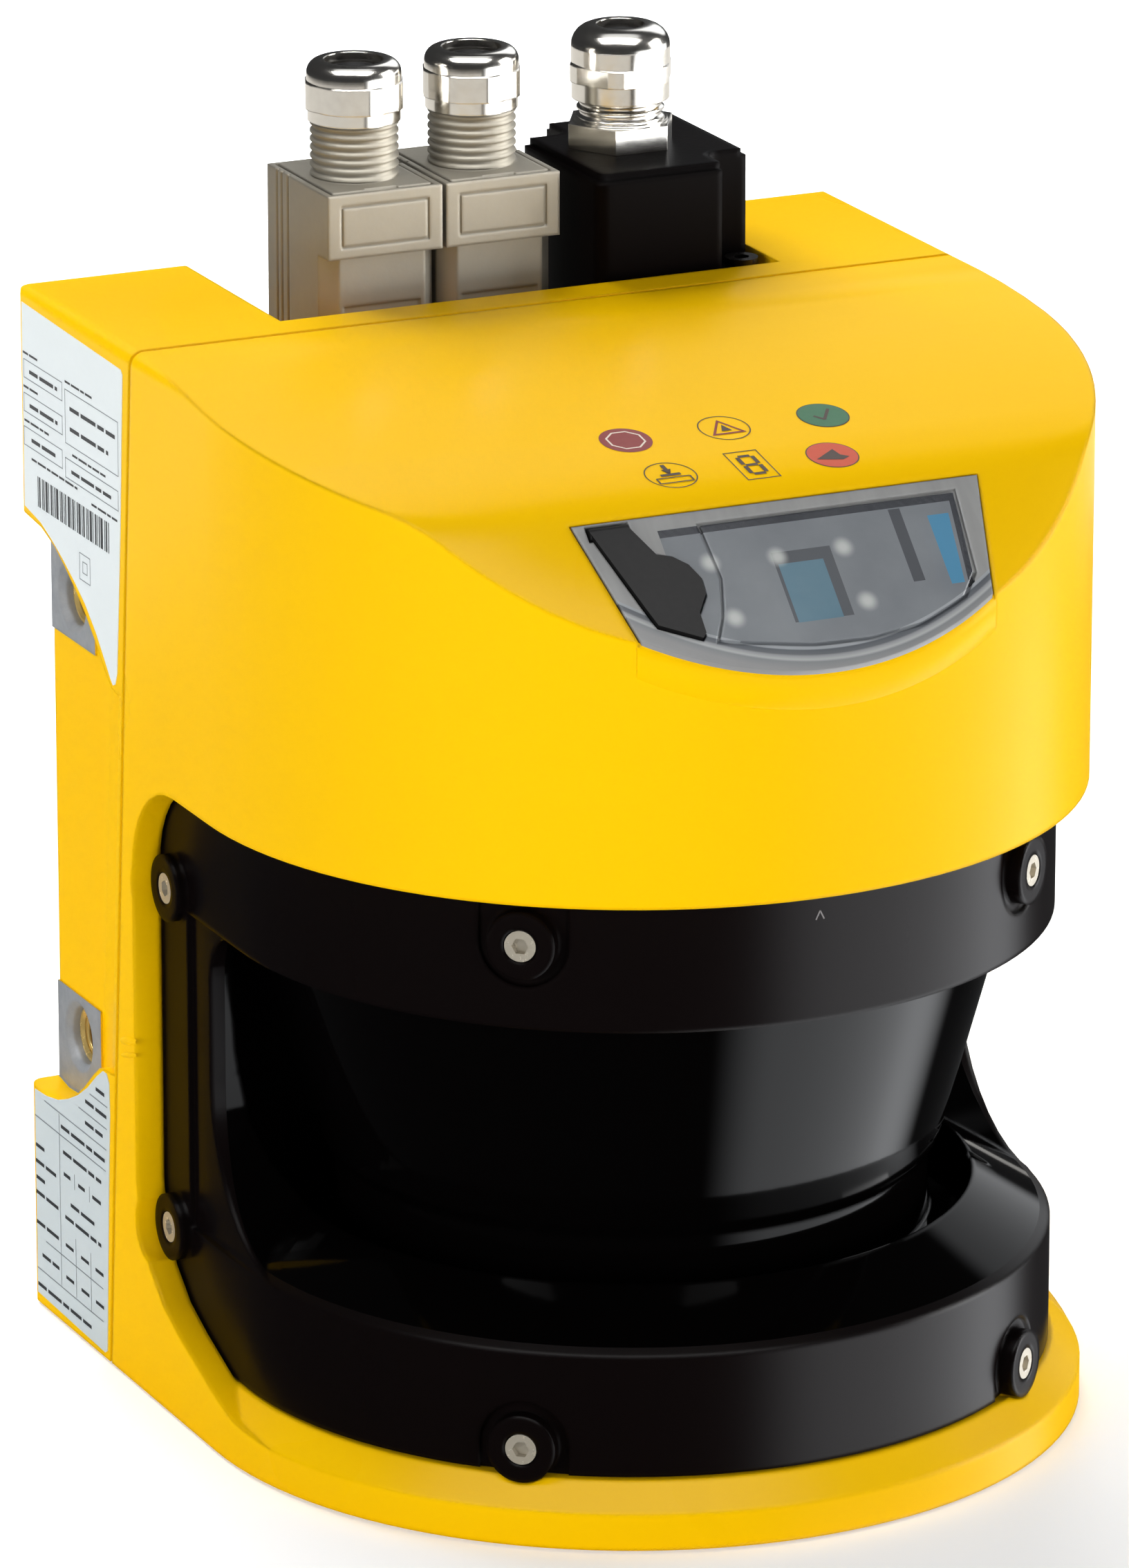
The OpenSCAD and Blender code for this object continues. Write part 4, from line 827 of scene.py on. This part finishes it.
def on_window(x, y, z):
    """World point of x across, y up the slope and z outward on the window face, in mm."""
    along = Vector((0, math.cos(face_slope), math.sin(face_slope)))
    outward = Vector((0, -math.sin(face_slope), math.cos(face_slope)))
    return lip + (Vector((x, 0, 0)) + along * y + outward * z) * mm


# the figure's seven bars, unlit, each a slim hexagon
figure_x, figure_y, figure_lean, figure_lift = 0.35, -18.4, 0.08, 0.03
bar_half, bar_gap, bar_point = 0.36, 0.3, 0.25
vertices, faces = [], []
for start, end in figure_bars(3.2, 6.2):
    along = (Vector(end) - Vector(start)).normalized()
    side = Vector((-along.y, along.x)) * bar_half
    start, end = Vector(start) + along * bar_gap, Vector(end) - along * bar_gap
    tip = along * bar_point
    faces.append([len(vertices) + i for i in range(6)])
    for c in (start - tip, start - side, end - side, end + tip, end + side, start + side):
        vertices.append(on_window(figure_x + c.x + c.y * figure_lean, c.y + figure_y, figure_lift))
unlit = printed("figure bars", (0.42, 0.5, 0.54, 1), 0.4)
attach(mesh_object("figure_bars", vertices, faces, unlit), "housing")


# ---------------------------------------------------------------------------------------------
# Connectors
# Two plugs in satin nickel-plated zinc hoods and one in black plastic stand in the pocket, each with
# a polished nickel cable gland.
# ---------------------------------------------------------------------------------------------
def plated(name, colour, rough, cast=0.0, round_edge=0.45 * mm, metallic=1.0):
    """Plated or plain metal; cast is how far the grain of the casting shows through."""
    f = Finish(name)
    point = f.place()
    fine = f.grain(point, 600.0, 4.0, 0.65)
    broad = f.grain(point, 90.0, 3.0)
    height = fine * (0.4 + cast) + broad * 0.5
    normal = f.relief(height, 0.1 + cast * 0.3, 0.1 * mm, f.rounded(round_edge))
    shade = f.blend(broad, darker(colour, 0.82), colour)
    return f.surface(Base_Color=shade, Metallic=metallic, Roughness=rough + 0.1 * fine, Normal=normal)


hood_metal = plated("satin nickel on zinc", (0.36, 0.335, 0.28, 1), 0.48, 0.5, 0.8 * mm, 0.75)
gland_metal = plated("polished nickel", (0.8, 0.77, 0.71, 1), 0.12, 0.0, 0.3 * mm)
plug_black = satin_plastic("plug black", (0.002, 0.0012, 0.0012, 1), 0.3, 1.6 * mm, 0.03)
plug_steel = turned_steel("blackened steel", (0.06, 0.055, 0.05, 1), 0.2)
for side in ("left", "middle"):
    stand_in(side + "_hood", hood_metal)
    stand_in(side + "_lid", hood_metal, 40.0)
    stand_in(side + "_gland_nut", gland_metal, 19.0)
    stand_in(side + "_gland_seal", rubber_skin)
    stand_in(side + "_insert", plug_black)
    stand_in(side + "_socket", plug_black)
for node in ("system_plug_hood", "system_plug_insert", "system_socket"):
    stand_in(node, plug_black)
stand_in("system_plug_screws", plug_steel)
stand_in("system_gland_body", gland_metal, 25.0)
stand_in("system_gland_nut", gland_metal, 19.0)
stand_in("system_gland_seal", rubber_skin)


# ---------------------------------------------------------------------------------------------
# Threads and casting marks
# The M8 inserts have a 1.25 mm pitch. Two low ridges on the cheek mark the height of the scan plane,
# and a small caret on the upper band marks the middle of the view.
# ---------------------------------------------------------------------------------------------
def ring_stack_tree():
    """Geometry Nodes: a stack of thread crests along Z, then turned and placed."""
    tree = bpy.data.node_groups.new("thread rings", "GeometryNodeTree")
    tree.interface.new_socket("Geometry", in_out="OUTPUT", socket_type="NodeSocketGeometry")
    wants = {"Count": "NodeSocketInt", "Pitch": "NodeSocketFloat", "Radius": "NodeSocketFloat",
             "Depth": "NodeSocketFloat", "Place": "NodeSocketVector", "Turn": "NodeSocketVector",
             "Material": "NodeSocketMaterial"}
    sockets = {}
    for label, kind in wants.items():
        sockets[label] = tree.interface.new_socket(label, in_out="INPUT", socket_type=kind).identifier
    given = tree.nodes.new("NodeGroupInput").outputs
    join = tree.links.new

    def node(kind, **inputs):
        made = tree.nodes.new(kind)
        for key, value in inputs.items():
            socket = made.inputs[key.replace("_", " ")]
            if isinstance(value, bpy.types.NodeSocket):
                join(value, socket)
            else:
                socket.default_value = value
        return made

    circle = node("GeometryNodeCurvePrimitiveCircle", Resolution=40, Radius=given["Radius"])
    profile = node("GeometryNodeCurvePrimitiveCircle", Resolution=6, Radius=given["Depth"])
    ring = node("GeometryNodeCurveToMesh", Curve=circle.outputs[0], Profile_Curve=profile.outputs[0])
    step = node("ShaderNodeCombineXYZ", Z=given["Pitch"])
    line = node("GeometryNodeMeshLine", Count=given["Count"], Offset=step.outputs[0])
    stack = node("GeometryNodeInstanceOnPoints", Points=line.outputs[0], Instance=ring.outputs[0])
    solid = node("GeometryNodeRealizeInstances", Geometry=stack.outputs[0])
    placed = node("GeometryNodeTransform", Geometry=solid.outputs[0], Translation=given["Place"],
                  Rotation=given["Turn"])
    painted = node("GeometryNodeSetMaterial", Geometry=placed.outputs[0], Material=given["Material"])
    out = tree.nodes.new("NodeGroupOutput")
    join(painted.outputs[0], out.inputs[0])
    return tree, sockets


def ring_stack(name, values):
    """One stack of thread crests as a plain mesh on the housing."""
    holder = bpy.data.objects.new(name + "_source", bpy.data.meshes.new(name + "_source"))
    bpy.context.scene.collection.objects.link(holder)
    rings = holder.modifiers.new("rings", "NODES")
    rings.node_group = thread_tree
    for label, value in values.items():
        rings[thread_sockets[label]] = value
    bpy.context.view_layer.update()
    ready = holder.evaluated_get(bpy.context.evaluated_depsgraph_get())
    mesh = bpy.data.meshes.new_from_object(ready)
    bpy.data.objects.remove(holder)
    mesh.polygons.foreach_set("use_smooth", [True] * len(mesh.polygons))
    piece = bpy.data.objects.new(name, mesh)
    bpy.context.scene.collection.objects.link(piece)
    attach(piece, "housing")


thread_tree, thread_sockets = ring_stack_tree()
m8_thread = {"Count": 7, "Pitch": 1.25 * mm, "Radius": 3.95 * mm, "Depth": 0.4 * mm, "Material": insert_metal}
quarter = math.pi / 2
side_thread_start = 60.9 * mm
rear_thread_start = 70.8 * mm
rear_thread_x = 58 * mm
rear_thread_levels = (29 * mm, 109 * mm)
for side in (-1, 1):
    for level in thread_levels:
        start = (side * side_thread_start, thread_y, level)
        ring_stack(f"side_thread_{side}_{round(level / mm)}",
                   m8_thread | {"Place": start, "Turn": (0.0, side * quarter, 0.0)})
    for level in rear_thread_levels:
        start = (side * rear_thread_x, rear_thread_start, level)
        ring_stack(f"rear_thread_{side}_{round(level / mm)}",
                   m8_thread | {"Place": start, "Turn": (-quarter, 0.0, 0.0)})


def cheek_ridge(name, back, front, levels, high, out):
    """A low ridge on the left cheek, tapering to its ends: y from back to front, z from levels, in mm."""
    vertices, faces = [], []
    steps, sides = 10, 6
    sunk = 0.05 * mm
    for i in range(steps + 1):
        t = i / steps
        swell = math.sin(math.pi * (0.06 + 0.88 * t)) ** 0.6
        y = back + (front - back) * t
        z = levels[0] + (levels[1] - levels[0]) * t
        for k in range(sides + 1):
            turn = math.pi * k / sides
            x = side_face - out * swell * math.sin(turn) * mm + sunk
            vertices.append((x, y * mm, (z + high * swell * math.cos(turn)) * mm))
    for i in range(steps):
        for k in range(sides):
            a = i * (sides + 1) + k
            faces.append((a, a + 1, a + sides + 2, a + sides + 1))
    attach(mesh_object(name, vertices, faces, yellow_coat, smooth=True), "housing")


cheek_ridge("cheek_ridge_upper", 37.6, 30.6, (61.2, 63.0), 0.9, 0.5)
cheek_ridge("cheek_ridge_lower", 37.2, 30.6, (58.6, 60.6), 0.6, 0.4)

# the caret's two strokes, laid round the upper band
band_skin = 72.04 * mm
stroke_half = 0.12
caret_foot, caret_tip, caret_half = 105.9, 107.4, 0.75
vertices, faces = [], []
for start, end in (((-caret_half, caret_foot), (0.0, caret_tip)), ((0.0, caret_tip), (caret_half, caret_foot))):
    start, end = Vector(start), Vector(end)
    along = (end - start).normalized()
    side = Vector((-along.y, along.x)) * stroke_half
    faces.append([len(vertices) + i for i in range(4)])
    for corner in (start - side, end - side, end + side, start + side):
        turn = corner.x * mm / band_skin
        vertices.append((band_skin * math.sin(turn), arc_middle - band_skin * math.cos(turn), corner.y * mm))
caret_paint = printed("caret paint", (0.09, 0.08, 0.08, 1))
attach(mesh_object("view_caret", vertices, faces, caret_paint), "housing")


# ---------------------------------------------------------------------------------------------
# Scanner unit
# A motor turns a slanted mirror behind the cover; a lens and a receiver look down on it, and the
# main board stands at the rear. Castings are grey aluminium, small parts black plastic or bright steel.
# ---------------------------------------------------------------------------------------------
unit_black = satin_plastic("unit black", (0.015, 0.015, 0.015, 1), 0.5)
unit_grey = plated("unit casting", (0.5, 0.51, 0.53, 1), 0.45, 0.4)
for node in ("motor_housing", "optics_bracket"):
    stand_in(node, unit_grey)
for node in ("rotor_shaft", "motor_bearings", "board_screws", "laser_module", "encoder_disc"):
    stand_in(node, bright_steel)
for node in ("mirror_carrier", "encoder_sensor"):
    stand_in(node, unit_black)
for node in ("receiver_board", "main_board", "io_board"):
    stand_in(node, green_board)
stand_in("motor_stator", plated("copper wire", (0.72, 0.33, 0.16, 1), 0.35, 0.3))
stand_in("scan_mirror", plated("mirror coat", (0.93, 0.94, 0.95, 1), 0.02))
stand_in("receiver_lens", satin_plastic("lens glass", (0.25, 0.1, 0.12, 1), 0.05))
